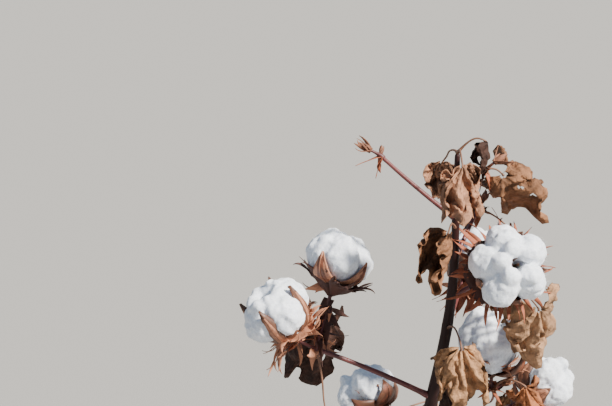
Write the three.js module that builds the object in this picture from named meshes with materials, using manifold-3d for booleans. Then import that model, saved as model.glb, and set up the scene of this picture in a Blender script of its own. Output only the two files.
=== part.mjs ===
// A cotton plant at harvest, whole from the ground up, in millimetres with +Z up.
// Its origin is the middle of the flat cut where the main stem meets the ground.
// The main stem carries one fruiting branch, a limb, at each node, round it in a spiral.
// At each limb's tip a shoot grows on in a zigzag: it holds the open bolls and the dry leaves.
// One more dry leaf hangs from the main stem under each limb, and a few crown the tip.
import * as THREE from 'three';
import { mergeVertices } from 'three/addons/utils/BufferGeometryUtils.js';
import Module from 'manifold-3d';

const wasm = await Module();
wasm.setup();

// Main stem. Its lean is given at equal steps of height, from the ground to the tip.
const STEM = {
  height: 740,
  footRadius: 8.4,
  tipRadius: 2.5,
  taper: 2.2,
  flare: 4.5,
  flareHeight: 16,
  leanX: [0, 2, 11, 25, 44, 45],
  leanY: [0, 5, 7, 3, -3, 0],
  sides: 9,
  rings: 22,
  crowding: 1.15,
};

// Limbs, the shoots on their tips, and the bud that ends each shoot. A shoot's first node is inset
// behind its limb's end, pieces that touch keep the joint gap, and stalks are wider at one end.
const LIMB = { radius: 3.1, slimRadius: 2.55, slimUnder: 100, tipShare: 0.72, steps: 4, sides: 5 };
const SHOOT = { radius: 1.9, tipShare: 0.6, step: 47, zigzag: 26, sides: 4, inset: 3 };
const BUD = { length: 15, radius: 4.5, tipRadius: 0.6, rise: 30, rings: [0.3, 0.6, 1] };
const STALK_FLARE = 1.3;
const JOINT_GAP = 0.3;

// Open boll, from its foot up: three toothed bracts, the split case with its waist and its valves, and
// four or five locks of lint. A lint ring is a share of the lint's radius and of its height. A long
// boll's locks have slipped out of the case and hang together.
const BOLL = { stalk: 21, stalkRadius: 1.7, stalkSides: 4, foot: -5, footRadius: 5, footHeight: -3 };
const BRACT = { count: 3, reach: 38, notch: 23, split: 8.5, height: 0.5, wall: 1.4 };
const CASE = { waist: 11, waistHeight: 3, reach: 34, rise: 15, valley: 13, valleyRise: 4, wall: 1.6 };
const LINT = { radius: 35, height: 44, dip: 10, base: 1, crease: 0.3, lowCrease: 0.135, columns: 3 };
const LINT_RINGS = [[0.68, 0.2], [1, 0.48], [0.9, 0.8], [0.42, 1]];
const LONG = { width: 0.8, height: 1.25 };

// Dry leaf: five lobes that have swung down and rolled in. A vein runs up each even column, and
// halfway out the blade has a ring of points on its veins alone.
const LEAF = { size: 70, wall: 1.1, stalk: 46, stalkRadius: 1.05, stalkSides: 3, veinRing: 0.5 };
const LOBE_ANGLES = [-128, -94, -52, -26, 0, 26, 52, 94, 128];
const LOBE_REACH = [0.42, 0.6, 0.9, 0.58, 1, 0.58, 0.9, 0.6, 0.42];

// The space that a boll or a leaf takes, as shares of its size along its axis, and how the plant is filled:
// the gap between neighbours, the crown's reach from the foot, its lowest point, and the tries at a place
const BOLL_SPACE = { radius: 34, middle: 20, longer: 14 };
const LEAF_SPACE = { radius: 0.3, back: 0.14, top: 0.26, tip: 0.76 };
const CROWN = { clear: 2.5, reach: 235, lowest: 8, tries: 30 };

// What is drawn at random for a boll, for a shoot's next node and for a leaf: pairs are the least and
// the most. A stray is an angle either way, and each further try strays more and shrinks a little.
const BOLL_DRAW = {
  stray: 2.5,
  riseShare: 0.5,
  size: [0.94, 1.06],
  shrink: 0.008,
  fourLocks: 0.35,
  turn: [30, 75],
  stalk: [0.9, 1.2],
  rise: [28, 68],
  long: 0.3,
};
const NODE_DRAW = { riseKept: 0.6, rise: [-6, 10], step: [0.9, 1.15] };
const LEAF_DRAW = {
  stray: 8,
  moreStray: 5,
  rise: 18,
  stalk: [0.75, 1.25],
  droop: [0.35, 0.8],
  lean: [0.05, 0.4],
  swing: 40,
  facing: 50,
  size: [0.8, 1.12],
  shrink: 0.01,
  close: [0.5, 0.72],
  roll: [0.2, 0.34],
  pleat: [0.07, 0.13],
};

// How far a shoot's leaves turn from its heading, and the first seed and the step of each kind's seeds
const LEAF_TURN = { first: 70, extra: 110 };
const SEEDS = { shoot: [7001, 977], shootLeaf: [3301, 631], stemLeaf: [5501, 419], tipLeaf: [9103, 0] };

// A leaf by the heading of its stalk. Its rise is in degrees, and its stalk and its size are shares of
// a plain leaf's. A stem leaf starts the given drop below its limb. The lean of its blade and the heading
// that it faces are drawn unless they are given, and a sure one keeps to its wish at the first try.
function hang(heading, rest = {}) {
  return { heading, rise: 20, stalk: 1, size: 1, drop: 15, sure: false, ...rest };
}

// A boll by the heading and the rise of its stalk. Its locks and its twist are drawn unless given.
function look(heading, rise, rest = {}) {
  return { heading, rise, stalk: 1, size: 1, long: 0, ...rest };
}

// One row for each limb, from the ground up: its height on the stem, its heading (0 is +X, 90 is +Y)
// and rise in degrees, its length, how far its end has turned up, its shoot's bolls, and the leaf that
// hangs from the stem below it. Where a row gives no looks or leaves, its shoot draws them.
const LIMBS = [
  { at: 104, heading: 25, rise: 38, length: 120, turn: -14, bolls: 2, stemLeaf: hang(330) },
  { at: 142, heading: 205, rise: 36, length: 128, turn: -14, bolls: 2, stemLeaf: hang(262) },
  { at: 180, heading: 290, rise: 34, length: 118, turn: -12, bolls: 1, stemLeaf: hang(350) },
  { at: 220, heading: 78, rise: 36, length: 122, turn: -14, bolls: 2, stemLeaf: hang(20) },
  { at: 262, heading: 158, rise: 30, length: 130, turn: -10, bolls: 1, stemLeaf: hang(110) },
  { at: 304, heading: 335, rise: 30, length: 122, turn: -8, bolls: 2, stemLeaf: hang(40) },
  { at: 346, heading: 232, rise: 24, length: 112, turn: -6, bolls: 1, stemLeaf: hang(175) },
  {
    at: 380,
    heading: 104,
    rise: 8,
    length: 96,
    turn: 4,
    bolls: 1,
    stemLeaf: hang(60),
    looks: [look(130, 30)],
  },
  {
    at: 430,
    heading: 30,
    rise: 4,
    length: 106,
    turn: 4,
    bolls: 1,
    stemLeaf: hang(75),
    looks: [look(20, 30)],
  },
  {
    at: 484,
    heading: 187,
    rise: 31,
    length: 128,
    turn: -5,
    bolls: 2,
    step: 0.4,
    stemLeaf: hang(250),
    looks: [
      look(60, 60, { stalk: 3.2, locks: 4, twist: 233 }),
      look(192, 58, { stalk: 0.8, locks: 4, twist: 247 }),
    ],
    leaves: [hang(60, { stalk: 0.8, size: 0.82, lean: 0.1, facing: 285, sure: true })],
  },
  {
    at: 497,
    heading: 4,
    rise: -6,
    length: 56,
    turn: 0,
    bolls: 1,
    looks: [look(110, 75, { stalk: 0.85, long: 1 })],
    leaves: [hang(330, { rise: 55, stalk: 1.25, size: 0.8, lean: 0.4, facing: 285, sure: true }), hang(40)],
  },
  {
    at: 566,
    heading: 76,
    rise: -2,
    length: 74,
    turn: 4,
    bolls: 1,
    stemLeaf: hang(282, { rise: 42, stalk: 1.35, size: 1.08, drop: 5, facing: 275, sure: true }),
    looks: [look(60, 20)],
    leaves: [hang(50)],
  },
  {
    at: 596,
    heading: 354,
    rise: 31,
    length: 46,
    turn: 4,
    bolls: 1,
    looks: [look(284, 36, { stalk: 1.12, size: 1.01, locks: 5, twist: 3 })],
    leaves: [hang(335, { rise: 0, stalk: 0.95, size: 0.92, lean: 0.1, facing: 285, sure: true })],
  },
  {
    at: 632,
    heading: 62,
    rise: 34,
    length: 60,
    turn: -6,
    bolls: 0,
    leaves: [hang(75, { rise: 0, size: 0.85 })],
  },
  {
    at: 675,
    heading: 176,
    rise: 39,
    length: 92,
    turn: 4,
    bolls: 0,
    stemLeaf: hang(253, { rise: 52, stalk: 1.15, size: 0.85, drop: 10, facing: 60, sure: true }),
    leaves: [],
  },
  {
    at: 704,
    heading: 20,
    rise: 30,
    length: 32,
    turn: 0,
    bolls: 0,
    stemLeaf: hang(330),
    leaves: [hang(350, { stalk: 0.35, size: 1.1, lean: 1.4, facing: 300, sure: true })],
  },
];
// Up to three dry leaves crowd at the stem's tip
const TIP_LEAVES = [
  hang(280, { rise: 52, stalk: 0.85, lean: 0.6, facing: 280, sure: true }),
  hang(10, { rise: 72, size: 0.5, sure: true }),
  hang(80, { rise: 10, stalk: 0.6, size: 0.8 }),
];
const TIP_BUD = { length: 12, radius: 2.4, tipRadius: 1.6, sides: 5 };

const RAD = Math.PI / 180;
const DOWN = new THREE.Vector3(0, 0, -1);

function vector(x, y, z) {
  return new THREE.Vector3(x, y, z);
}

// The unit vector of a heading and a rise in degrees
function toward(heading, rise) {
  const level = Math.cos(rise * RAD);
  return vector(Math.cos(heading * RAD) * level, Math.sin(heading * RAD) * level, Math.sin(rise * RAD));
}

// Repeatable random numbers from 0 to 1: each shoot draws its own row of them
function seeded(seed) {
  let state = seed;
  return () => {
    state = (state * 16807) % 2147483647;
    return state / 2147483647;
  };
}

// The random numbers of one kind of thing on one limb
function seededFor([first, step], index) {
  return seeded(first + index * step);
}

function between(random, low, high) {
  return low + (high - low) * random();
}

// A smooth curve through equally spaced values, read at a share from 0 to 1
function smoothAt(values, share) {
  const spans = values.length - 1;
  const span = Math.min(Math.floor(share * spans), spans - 1);
  const t = share * spans - span;
  const b = values[span];
  const c = values[span + 1];
  const a = span > 0 ? values[span - 1] : 2 * b - c;
  const d = span + 2 <= spans ? values[span + 2] : 2 * c - b;
  const square = (2 * a - 5 * b + 4 * c - d) * t * t;
  const cube = (3 * b - a - 3 * c + d) * t * t * t;
  return 0.5 * (2 * b + (c - a) * t + square + cube);
}

function stemPoint(height) {
  const share = height / STEM.height;
  return vector(smoothAt(STEM.leanX, share), smoothAt(STEM.leanY, share), height);
}

function stemRadius(height) {
  const share = height / STEM.height;
  const taper = STEM.tipRadius + (STEM.footRadius - STEM.tipRadius) * (1 - share ** STEM.taper);
  return taper + STEM.flare * Math.exp(-height / STEM.flareHeight);
}

// The space that each placed thing takes, as straight capsules that later things keep clear of
const taken = [];

function capsule(a, b, radius) {
  return { a, b, radius };
}

// The clear distance between two capsules
function gapBetween(first, second) {
  const along = first.b.clone().sub(first.a);
  const other = second.b.clone().sub(second.a);
  const apart = first.a.clone().sub(second.a);
  const a = Math.max(along.dot(along), 1e-9);
  const e = Math.max(other.dot(other), 1e-9);
  const b = along.dot(other);
  const c = along.dot(apart);
  const f = other.dot(apart);
  const spread = a * e - b * b;
  let s = spread > 1e-9 ? Math.min(Math.max((b * f - c * e) / spread, 0), 1) : 0;
  let t = (b * s + f) / e;
  if (t < 0) {
    t = 0;
    s = Math.min(Math.max(-c / a, 0), 1);
  } else if (t > 1) {
    t = 1;
    s = Math.min(Math.max((b - c) / a, 0), 1);
  }
  const nearFirst = first.a.clone().addScaledVector(along, s);
  const nearSecond = second.a.clone().addScaledVector(other, t);
  return nearFirst.distanceTo(nearSecond) - first.radius - second.radius;
}

function isFree(shapes) {
  for (const shape of shapes) {
    for (const end of [shape.a, shape.b]) {
      if (end.z - shape.radius < CROWN.lowest) return false;
      if (Math.hypot(end.x, end.y) + shape.radius > CROWN.reach) return false;
    }
    if (taken.some((other) => gapBetween(shape, other) < CROWN.clear)) return false;
  }
  return true;
}

function takeLine(points, radius) {
  for (let i = 1; i < points.length; i += 1) taken.push(capsule(points[i - 1], points[i], radius));
}

// Where a limb runs: it starts on the stem's middle line and turns by the same angle at each step
function limbLine(limb) {
  const points = [stemPoint(limb.at)];
  for (let i = 0; i < LIMB.steps; i += 1) {
    const rise = limb.rise + (limb.turn * i) / (LIMB.steps - 1);
    points.push(points[i].clone().addScaledVector(toward(limb.heading, rise), limb.length / LIMB.steps));
  }
  return points;
}

function limbRadius(limb) {
  return limb.length < LIMB.slimUnder ? LIMB.slimRadius : LIMB.radius;
}

function limbAlong(limb) {
  return toward(limb.heading, limb.rise + limb.turn);
}

function bollSpace(boll) {
  const low = boll.base.clone().addScaledVector(boll.axis, BOLL_SPACE.middle * boll.size);
  const high = low.clone().addScaledVector(boll.axis, BOLL_SPACE.longer * boll.size * boll.long);
  return [capsule(low, high, BOLL_SPACE.radius * boll.size * (boll.long ? LONG.width : 1))];
}

// A boll sits on the end of its stalk, and its axis is the stalk's own line. Each try strays further.
function tryBoll(from, wish, random) {
  for (let i = 0; i < CROWN.tries; i += 1) {
    const stray = i * BOLL_DRAW.stray;
    const heading = wish.heading + between(random, -stray, stray);
    const rise = wish.rise + between(random, -stray, stray) * BOLL_DRAW.riseShare;
    const size = wish.size * between(random, ...BOLL_DRAW.size) * (1 - i * BOLL_DRAW.shrink);
    const drawnLocks = random() < BOLL_DRAW.fourLocks ? 4 : 5;
    const drawnTwist = between(random, 0, 360);
    const axis = toward(heading, rise);
    const boll = {
      from,
      base: from.clone().addScaledVector(axis, BOLL.stalk * wish.stalk),
      axis,
      size,
      locks: wish.locks ?? drawnLocks,
      long: wish.long,
      twist: wish.twist ?? drawnTwist,
    };
    const shapes = bollSpace(boll);
    if (isFree(shapes)) {
      taken.push(...shapes);
      return boll;
    }
  }
  return null;
}

// A leaf's stalk starts along its heading and droops
function stalkLine(from, heading, rise, length, droop) {
  const points = [];
  for (let i = 0; i <= 4; i += 1) {
    const t = i / 4;
    const point = from.clone().addScaledVector(toward(heading, rise), length * t);
    points.push(point.addScaledVector(DOWN, length * droop * t * t));
  }
  return points;
}

// The way that a blade's outer face looks, square to the way that it hangs
function leafOut(leaf) {
  const out = toward(leaf.facing, 0);
  return out.addScaledVector(leaf.down, -out.dot(leaf.down)).normalize();
}

function leafSpace(leaf) {
  const middle = leaf.root.clone().addScaledVector(leafOut(leaf), -leaf.size * LEAF_SPACE.back);
  const top = middle.clone().addScaledVector(leaf.down, leaf.size * LEAF_SPACE.top);
  const tip = middle.clone().addScaledVector(leaf.down, leaf.size * LEAF_SPACE.tip);
  const stalk = capsule(leaf.stalk[2], leaf.stalk[4], LEAF.stalkRadius);
  return [capsule(top, tip, leaf.size * LEAF_SPACE.radius), stalk];
}

// A blade hangs from the end of its stalk. Each try strays further, and its leaf is a little smaller.
function tryLeaf(from, wish, random) {
  for (let i = 0; i < CROWN.tries; i += 1) {
    const sure = wish.sure && i === 0;
    const draw = (low, high) => {
      const drawn = between(random, low, high);
      return sure ? (low + high) / 2 : drawn;
    };
    const stray = LEAF_DRAW.stray + i * LEAF_DRAW.moreStray;
    const heading = wish.heading + draw(-stray, stray);
    const rise = wish.rise + draw(-LEAF_DRAW.rise, LEAF_DRAW.rise);
    const length = LEAF.stalk * wish.stalk * draw(...LEAF_DRAW.stalk);
    const stalk = stalkLine(from, heading, rise, length, draw(...LEAF_DRAW.droop));
    const drawnLean = draw(...LEAF_DRAW.lean);
    const swing = heading + draw(-LEAF_DRAW.swing, LEAF_DRAW.swing);
    const drawnFacing = heading + draw(-LEAF_DRAW.facing, LEAF_DRAW.facing);
    const leaf = {
      stalk,
      root: stalk[4],
      down: toward(swing, 0).multiplyScalar(wish.lean ?? drawnLean).add(DOWN).normalize(),
      facing: wish.facing ?? drawnFacing,
      size: LEAF.size * wish.size * draw(...LEAF_DRAW.size) * (1 - i * LEAF_DRAW.shrink),
      close: between(random, ...LEAF_DRAW.close),
      roll: between(random, ...LEAF_DRAW.roll),
      pleat: between(random, ...LEAF_DRAW.pleat),
    };
    const shapes = leafSpace(leaf);
    if (isFree(shapes)) {
      taken.push(...shapes);
      return leaf;
    }
  }
  return null;
}

function hangLeaves(places, random) {
  return places.map(([from, wish]) => tryLeaf(from, wish, random)).filter((leaf) => leaf);
}

// The shoot on a limb's tip: nodes in a zigzag, each with a boll, until its bolls are used up
function growShoot(limb, index) {
  const random = seededFor(SEEDS.shoot, index);
  const nodes = [limbLine(limb)[LIMB.steps]];
  const bolls = [];
  let heading = limb.heading;
  let rise = limb.rise + limb.turn;
  let side = index % 2 ? 1 : -1;
  for (let k = 0; k < limb.bolls; k += 1) {
    if (k > 0) {
      heading -= side * SHOOT.zigzag;
      rise = rise * NODE_DRAW.riseKept + between(random, ...NODE_DRAW.rise);
      const drawnStep = between(random, ...NODE_DRAW.step);
      const step = SHOOT.step * (limb.step ?? drawnStep);
      nodes.push(nodes[k - 1].clone().addScaledVector(toward(heading, rise), step));
      side = -side;
    }
    const turn = side * between(random, ...BOLL_DRAW.turn);
    const stalk = between(random, ...BOLL_DRAW.stalk);
    const long = random() < BOLL_DRAW.long ? 1 : 0;
    const drawn = look(heading + turn, between(random, ...BOLL_DRAW.rise), { stalk, long });
    const boll = tryBoll(nodes[k], limb.looks ? limb.looks[k] : drawn, random);
    if (boll) bolls.push(boll);
  }
  takeLine(nodes, SHOOT.radius);
  return { limb, index, nodes, bolls, heading, leaves: [] };
}

// One leaf at each node of a shoot, and one more at the last node of every other shoot
function hangShootLeaves(shoot) {
  const { nodes, index, heading, limb } = shoot;
  const random = seededFor(SEEDS.shootLeaf, index);
  const last = nodes[nodes.length - 1];
  const sideOf = (k) => ((index + k) % 2 ? -1 : 1);
  const places = nodes.map((node, k) => [node, hang(heading + sideOf(k) * LEAF_TURN.first)]);
  if (index % 2) places.push([last, hang(heading - sideOf(nodes.length - 1) * LEAF_TURN.extra)]);
  const given = limb.leaves && limb.leaves.map((wish) => [last, wish]);
  shoot.leaves = hangLeaves(given || places, random);
}

// The leaf that hangs from the main stem under a limb
function hangStemLeaf(limb, index) {
  if (!limb.stemLeaf) return [];
  const from = stemPoint(limb.at - limb.stemLeaf.drop);
  return hangLeaves([[from, limb.stemLeaf]], seededFor(SEEDS.stemLeaf, index));
}

// A closed tube of flat faces along a line. With level set, its rings lie flat.
function tube(points, radii, sides, level = false) {
  const position = [];
  const index = [];
  const count = points.length;
  let across = vector(1, 0, 0);
  points.forEach((point, i) => {
    const along = points[Math.min(i + 1, count - 1)].clone().sub(points[Math.max(i - 1, 0)]).normalize();
    const axis = level ? vector(0, 0, 1) : along;
    if (i === 0 && Math.abs(axis.x) > 0.8) across = vector(0, 1, 0);
    across = across.clone().addScaledVector(axis, -across.dot(axis)).normalize();
    const other = axis.clone().cross(across);
    for (let k = 0; k < sides; k += 1) {
      const angle = (k / sides) * 2 * Math.PI;
      const spot = point.clone().addScaledVector(across, radii[i] * Math.cos(angle));
      spot.addScaledVector(other, radii[i] * Math.sin(angle));
      position.push(spot.x, spot.y, spot.z);
    }
  });
  for (let i = 0; i < count - 1; i += 1) {
    for (let k = 0; k < sides; k += 1) {
      const a = i * sides + k;
      const b = i * sides + ((k + 1) % sides);
      index.push(a, b, b + sides, a, b + sides, a + sides);
    }
  }
  const last = (count - 1) * sides;
  for (let k = 1; k < sides - 1; k += 1) {
    index.push(0, k + 1, k, last, last + k, last + k + 1);
  }
  return geometryOf(position, index);
}

function geometryOf(position, index) {
  const geometry = new THREE.BufferGeometry();
  geometry.setAttribute('position', new THREE.Float32BufferAttribute(position, 3));
  geometry.setIndex(index);
  return geometry;
}

function solidOf(geometry) {
  const bare = geometry.clone();
  bare.deleteAttribute('normal');
  bare.deleteAttribute('uv');
  const merged = mergeVertices(bare, 1e-3);
  const mesh = new wasm.Mesh({
    numProp: 3,
    vertProperties: merged.attributes.position.array,
    triVerts: new Uint32Array(merged.index.array),
  });
  return new wasm.Manifold(mesh);
}

function join(solids) {
  return solids.reduce((whole, piece) => whole.add(piece));
}

// The largest body of a solid, which leaves out the scraps that a cut makes
function largest(solid) {
  return solid.decompose().reduce((best, body) => (body.volume() > best.volume() ? body : best));
}

function tapered(points, from, to) {
  return points.map((_, i) => from + ((to - from) * i) / (points.length - 1));
}

function stemSolid(grow) {
  const points = [];
  const radii = [];
  for (let i = 0; i <= STEM.rings; i += 1) {
    const height = STEM.height * (i / STEM.rings) ** STEM.crowding;
    points.push(stemPoint(height));
    radii.push(stemRadius(height) + grow);
  }
  return solidOf(tube(points, radii, STEM.sides, true));
}

// A limb's solid stops short of its shoot's first node. Grown, it is the space that the shoot keeps out of.
function limbSolid(limb, grow) {
  const line = limbLine(limb);
  line[LIMB.steps].addScaledVector(limbAlong(limb), grow - SHOOT.inset);
  const radius = limbRadius(limb);
  return solidOf(tube(line, tapered(line, radius + grow, radius * LIMB.tipShare + grow), LIMB.sides));
}

// A boll as one closed surface: each ring has a radius and a height for every column round the axis.
// A valve of the case stands in the crease between two locks, and each bract has an outer row of teeth.
function bollGeometry(locks, width, height) {
  const columns = locks * LINT.columns;
  const bractColumns = columns / BRACT.count;
  const position = [0, 0, BOLL.foot];
  const ring = (place) => {
    for (let k = 0; k < columns; k += 1) {
      const angle = (k / columns) * 2 * Math.PI;
      const [out, up] = place(k);
      position.push(out * Math.cos(angle), out * Math.sin(angle), up);
    }
  };
  const inCrease = (k) => k % LINT.columns === 0;
  const betweenBracts = (k) => k % bractColumns === bractColumns - 1;
  const tooth = (k) => (k % 2 ? BRACT.notch : BRACT.reach);
  const bract = (k) => (betweenBracts(k) ? BRACT.split : tooth(k));
  const valve = (k) => (inCrease(k) ? [CASE.reach, CASE.rise] : [CASE.valley, CASE.valleyRise]);
  ring(() => [BOLL.footRadius, BOLL.footHeight]);
  ring((k) => [bract(k), BRACT.height]);
  ring((k) => [bract(k), BRACT.height + BRACT.wall]);
  ring(() => [CASE.waist, CASE.waistHeight]);
  ring((k) => valve(k));
  ring((k) => [valve(k)[0], valve(k)[1] + CASE.wall]);
  for (const [out, up] of LINT_RINGS) {
    const draw = (k) => width * out * (inCrease(k) ? 1 - LINT.crease : 1);
    const lift = (k) => height * up * (inCrease(k) ? 1 - LINT.lowCrease : 1) + LINT.base;
    ring((k) => [draw(k), lift(k)]);
  }
  const last = position.length / 3;
  position.push(0, 0, height - LINT.dip);
  const index = [];
  for (let k = 0; k < columns; k += 1) {
    const next = (k + 1) % columns;
    index.push(0, 1 + next, 1 + k);
    for (let low = 1; low + columns < last; low += columns) {
      const high = low + columns;
      index.push(low + k, low + next, high + next, low + k, high + next, high + k);
    }
    index.push(last, last - columns + k, last - columns + next);
  }
  return geometryOf(position, index);
}

// Places a shape made round the origin with its axis along +Z
function placeOn(geometry, base, axis, twist, size) {
  const turn = new THREE.Quaternion().setFromUnitVectors(vector(0, 0, 1), axis);
  turn.multiply(new THREE.Quaternion().setFromAxisAngle(vector(0, 0, 1), twist * RAD));
  return geometry.applyMatrix4(new THREE.Matrix4().compose(base, turn, vector(size, size, size)));
}

function bollSolids(boll) {
  const width = LINT.radius * (boll.long ? LONG.width : 1);
  const height = LINT.height * (boll.long ? LONG.height : 1);
  const body = placeOn(bollGeometry(boll.locks, width, height), boll.base, boll.axis, boll.twist, boll.size);
  const end = boll.base.clone().addScaledVector(boll.axis, BOLL.footHeight + LINT.base);
  const stalk = tube([boll.from, end], [BOLL.stalkRadius, BOLL.stalkRadius * STALK_FLARE], BOLL.stalkSides);
  return [solidOf(body), solidOf(stalk)];
}

// The folded blade: its lobes swung down beside the midrib, rolled round it and pleated along the veins
function bladeGeometry(leaf) {
  const out = leafOut(leaf);
  const side = leaf.down.clone().cross(out);
  const roll = leaf.roll * leaf.size;
  const place = (share, column) => {
    const reach = leaf.size * LOBE_REACH[column] * share;
    const angle = LOBE_ANGLES[column] * leaf.close * RAD;
    const turn = (reach * Math.sin(angle)) / roll;
    const ridge = column % 2 ? 1 : -1;
    const lift = roll * (1 - Math.cos(turn)) + leaf.pleat * leaf.size * ridge * share;
    const point = leaf.root.clone().addScaledVector(leaf.down, reach * Math.cos(angle));
    return point.addScaledVector(side, roll * Math.sin(turn)).addScaledVector(out, -lift);
  };
  const columns = LOBE_ANGLES.length;
  const veins = (columns + 1) / 2;
  const points = [leaf.root.clone()];
  for (let i = 0; i < veins; i += 1) points.push(place(LEAF.veinRing, 2 * i));
  for (let i = 0; i < columns; i += 1) points.push(place(1, i));
  const faces = [];
  for (let i = 1; i < veins; i += 1) {
    const rim = veins + 2 * i - 1;
    faces.push([0, i, i + 1], [i, rim, rim + 1], [i, rim + 1, i + 1], [i + 1, rim + 1, rim + 2]);
  }
  const rim = [0, 1];
  for (let i = 1; i <= columns; i += 1) rim.push(veins + i);
  rim.push(veins);
  return thickened(points, faces, rim, LEAF.wall);
}

// A closed sheet of the given thickness round a surface, whose rim runs the way that its faces turn
function thickened(points, faces, rim, wall) {
  const normals = points.map(() => vector(0, 0, 0));
  for (const [a, b, c] of faces) {
    const normal = points[b].clone().sub(points[a]).cross(points[c].clone().sub(points[a]));
    for (const corner of [a, b, c]) normals[corner].add(normal);
  }
  const position = [];
  for (const shift of [wall / 2, -wall / 2]) {
    points.forEach((point, i) => {
      const moved = point.clone().addScaledVector(normals[i].clone().normalize(), shift);
      position.push(moved.x, moved.y, moved.z);
    });
  }
  const back = points.length;
  const index = [];
  for (const [a, b, c] of faces) index.push(a, b, c, back + a, back + c, back + b);
  rim.forEach((from, i) => {
    const to = rim[(i + 1) % rim.length];
    index.push(from, back + to, to, from, back + from, back + to);
  });
  return geometryOf(position, index);
}

function leafSolids(leaf) {
  const end = leaf.root.clone().addScaledVector(leaf.down, 2);
  const line = [leaf.stalk[0], leaf.stalk[2], leaf.stalk[4], end];
  const stalk = tube(line, tapered(line, LEAF.stalkRadius * STALK_FLARE, LEAF.stalkRadius), LEAF.stalkSides);
  return [solidOf(stalk), solidOf(bladeGeometry(leaf))];
}

// A shoot's twig, from behind its limb's end through its nodes to its bud, with its bolls and leaves
function shootSolids(shoot) {
  const start = shoot.nodes[0].clone().addScaledVector(limbAlong(shoot.limb), -SHOOT.inset);
  const last = shoot.nodes[shoot.nodes.length - 1];
  const onward = toward(shoot.heading, BUD.rise);
  const bud = BUD.rings.map((share) => last.clone().addScaledVector(onward, BUD.length * share));
  const line = [start, ...shoot.nodes, ...bud];
  const radii = tapered(line, SHOOT.radius, SHOOT.radius * SHOOT.tipShare);
  radii.splice(-2, 2, BUD.radius, BUD.tipRadius);
  const twig = solidOf(tube(line, radii, SHOOT.sides));
  return [twig, ...shoot.bolls.flatMap(bollSolids), ...shoot.leaves.flatMap(leafSolids)];
}

// A closed bud on the stem's tip, in the middle of the leaves that crowd there
function tipBud() {
  const foot = stemPoint(STEM.height).setZ(STEM.height + JOINT_GAP);
  const tip = foot.clone().addScaledVector(DOWN, -TIP_BUD.length);
  return solidOf(tube([foot, tip], [TIP_BUD.radius, TIP_BUD.tipRadius], TIP_BUD.sides));
}

function nodeName(kind, index) {
  return `${kind}_${String(index + 1).padStart(2, '0')}`;
}

const looks = {
  bark: new THREE.MeshStandardMaterial({ color: 0x4a2b27, roughness: 0.6, metalness: 0 }),
  shoot: new THREE.MeshStandardMaterial({ color: 0xe4ddd2, roughness: 0.95, metalness: 0 }),
  leaf: new THREE.MeshStandardMaterial({ color: 0xa9754b, roughness: 0.9, metalness: 0 }),
};

const plant = new THREE.Group();

function addNode(name, solid, material) {
  const made = solid.getMesh();
  const geometry = geometryOf(Array.from(made.vertProperties), Array.from(made.triVerts));
  geometry.computeVertexNormals();
  const mesh = new THREE.Mesh(geometry, material);
  mesh.name = name;
  plant.add(mesh);
}

// The space is shared out in this order: the stem, limbs, bolls, shoot leaves, stem leaves, tip leaves
for (let i = 0; i < STEM.rings; i += 1) {
  const low = (STEM.height * i) / STEM.rings;
  const high = low + STEM.height / STEM.rings;
  taken.push(capsule(stemPoint(low), stemPoint(high), stemRadius(low)));
}
for (const limb of LIMBS) takeLine(limbLine(limb), limbRadius(limb));
const shoots = LIMBS.map(growShoot);
shoots.forEach(hangShootLeaves);
const stemLeaves = LIMBS.map(hangStemLeaf);
const tipPlaces = TIP_LEAVES.map((wish) => [stemPoint(STEM.height), wish]);
const tipLeaves = hangLeaves(tipPlaces, seededFor(SEEDS.tipLeaf, 0));

addNode('stem', stemSolid(0), looks.bark);
const stemSpace = stemSolid(JOINT_GAP);
LIMBS.forEach((limb, i) => {
  addNode(nodeName('limb', i), largest(limbSolid(limb, 0).subtract(stemSpace)), looks.bark);
});
shoots.forEach((shoot, i) => {
  const grown = join(shootSolids(shoot)).subtract(limbSolid(shoot.limb, JOINT_GAP));
  addNode(nodeName('shoot', i), largest(grown), looks.shoot);
});
stemLeaves.forEach((leaves, i) => {
  if (!leaves.length) return;
  addNode(nodeName('stem_leaf', i), largest(join(leafSolids(leaves[0])).subtract(stemSpace)), looks.leaf);
});
const tipSolid = join([tipBud(), ...tipLeaves.flatMap(leafSolids)]);
addNode('tip_leaves', largest(tipSolid.subtract(stemSpace)), looks.leaf);

export default plant;
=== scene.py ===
# A cotton plant at harvest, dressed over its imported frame: barked stem and limbs, zigzag twigs,
# open bolls of white lint in their brown cases, toothed bracts and crumpled dry leaves.
# The plant grows by the rule of the part's source, written again here and carried to finer pieces.
# Lengths are in millimetres until a mesh is made, with +Z up and the ground at zero.
import math
from types import SimpleNamespace as Row

import bpy
import numpy as np
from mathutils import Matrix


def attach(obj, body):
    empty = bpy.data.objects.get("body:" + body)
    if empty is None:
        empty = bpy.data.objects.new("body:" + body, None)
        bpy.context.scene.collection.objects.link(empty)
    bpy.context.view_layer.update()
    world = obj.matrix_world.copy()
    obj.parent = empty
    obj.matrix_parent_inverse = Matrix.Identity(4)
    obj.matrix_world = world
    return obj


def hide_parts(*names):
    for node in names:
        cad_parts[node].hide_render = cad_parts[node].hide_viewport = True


bl_info = {
    "name": "Cotton Plant",
    "version": (1, 0, 0),
    "blender": (4, 5, 0),
    "location": "View3D > Sidebar > Cotton",
    "description": "Dresses a packed cotton plant with bark, lint, cases, bracts and dry leaves",
    "category": "Object",
}

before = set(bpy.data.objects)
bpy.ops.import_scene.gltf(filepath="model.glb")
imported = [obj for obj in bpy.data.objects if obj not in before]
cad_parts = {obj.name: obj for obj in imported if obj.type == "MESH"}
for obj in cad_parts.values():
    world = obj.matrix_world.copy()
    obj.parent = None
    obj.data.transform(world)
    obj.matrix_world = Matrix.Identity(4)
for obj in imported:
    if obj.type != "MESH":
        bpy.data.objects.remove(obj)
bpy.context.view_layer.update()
NODES = sorted(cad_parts)

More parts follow.
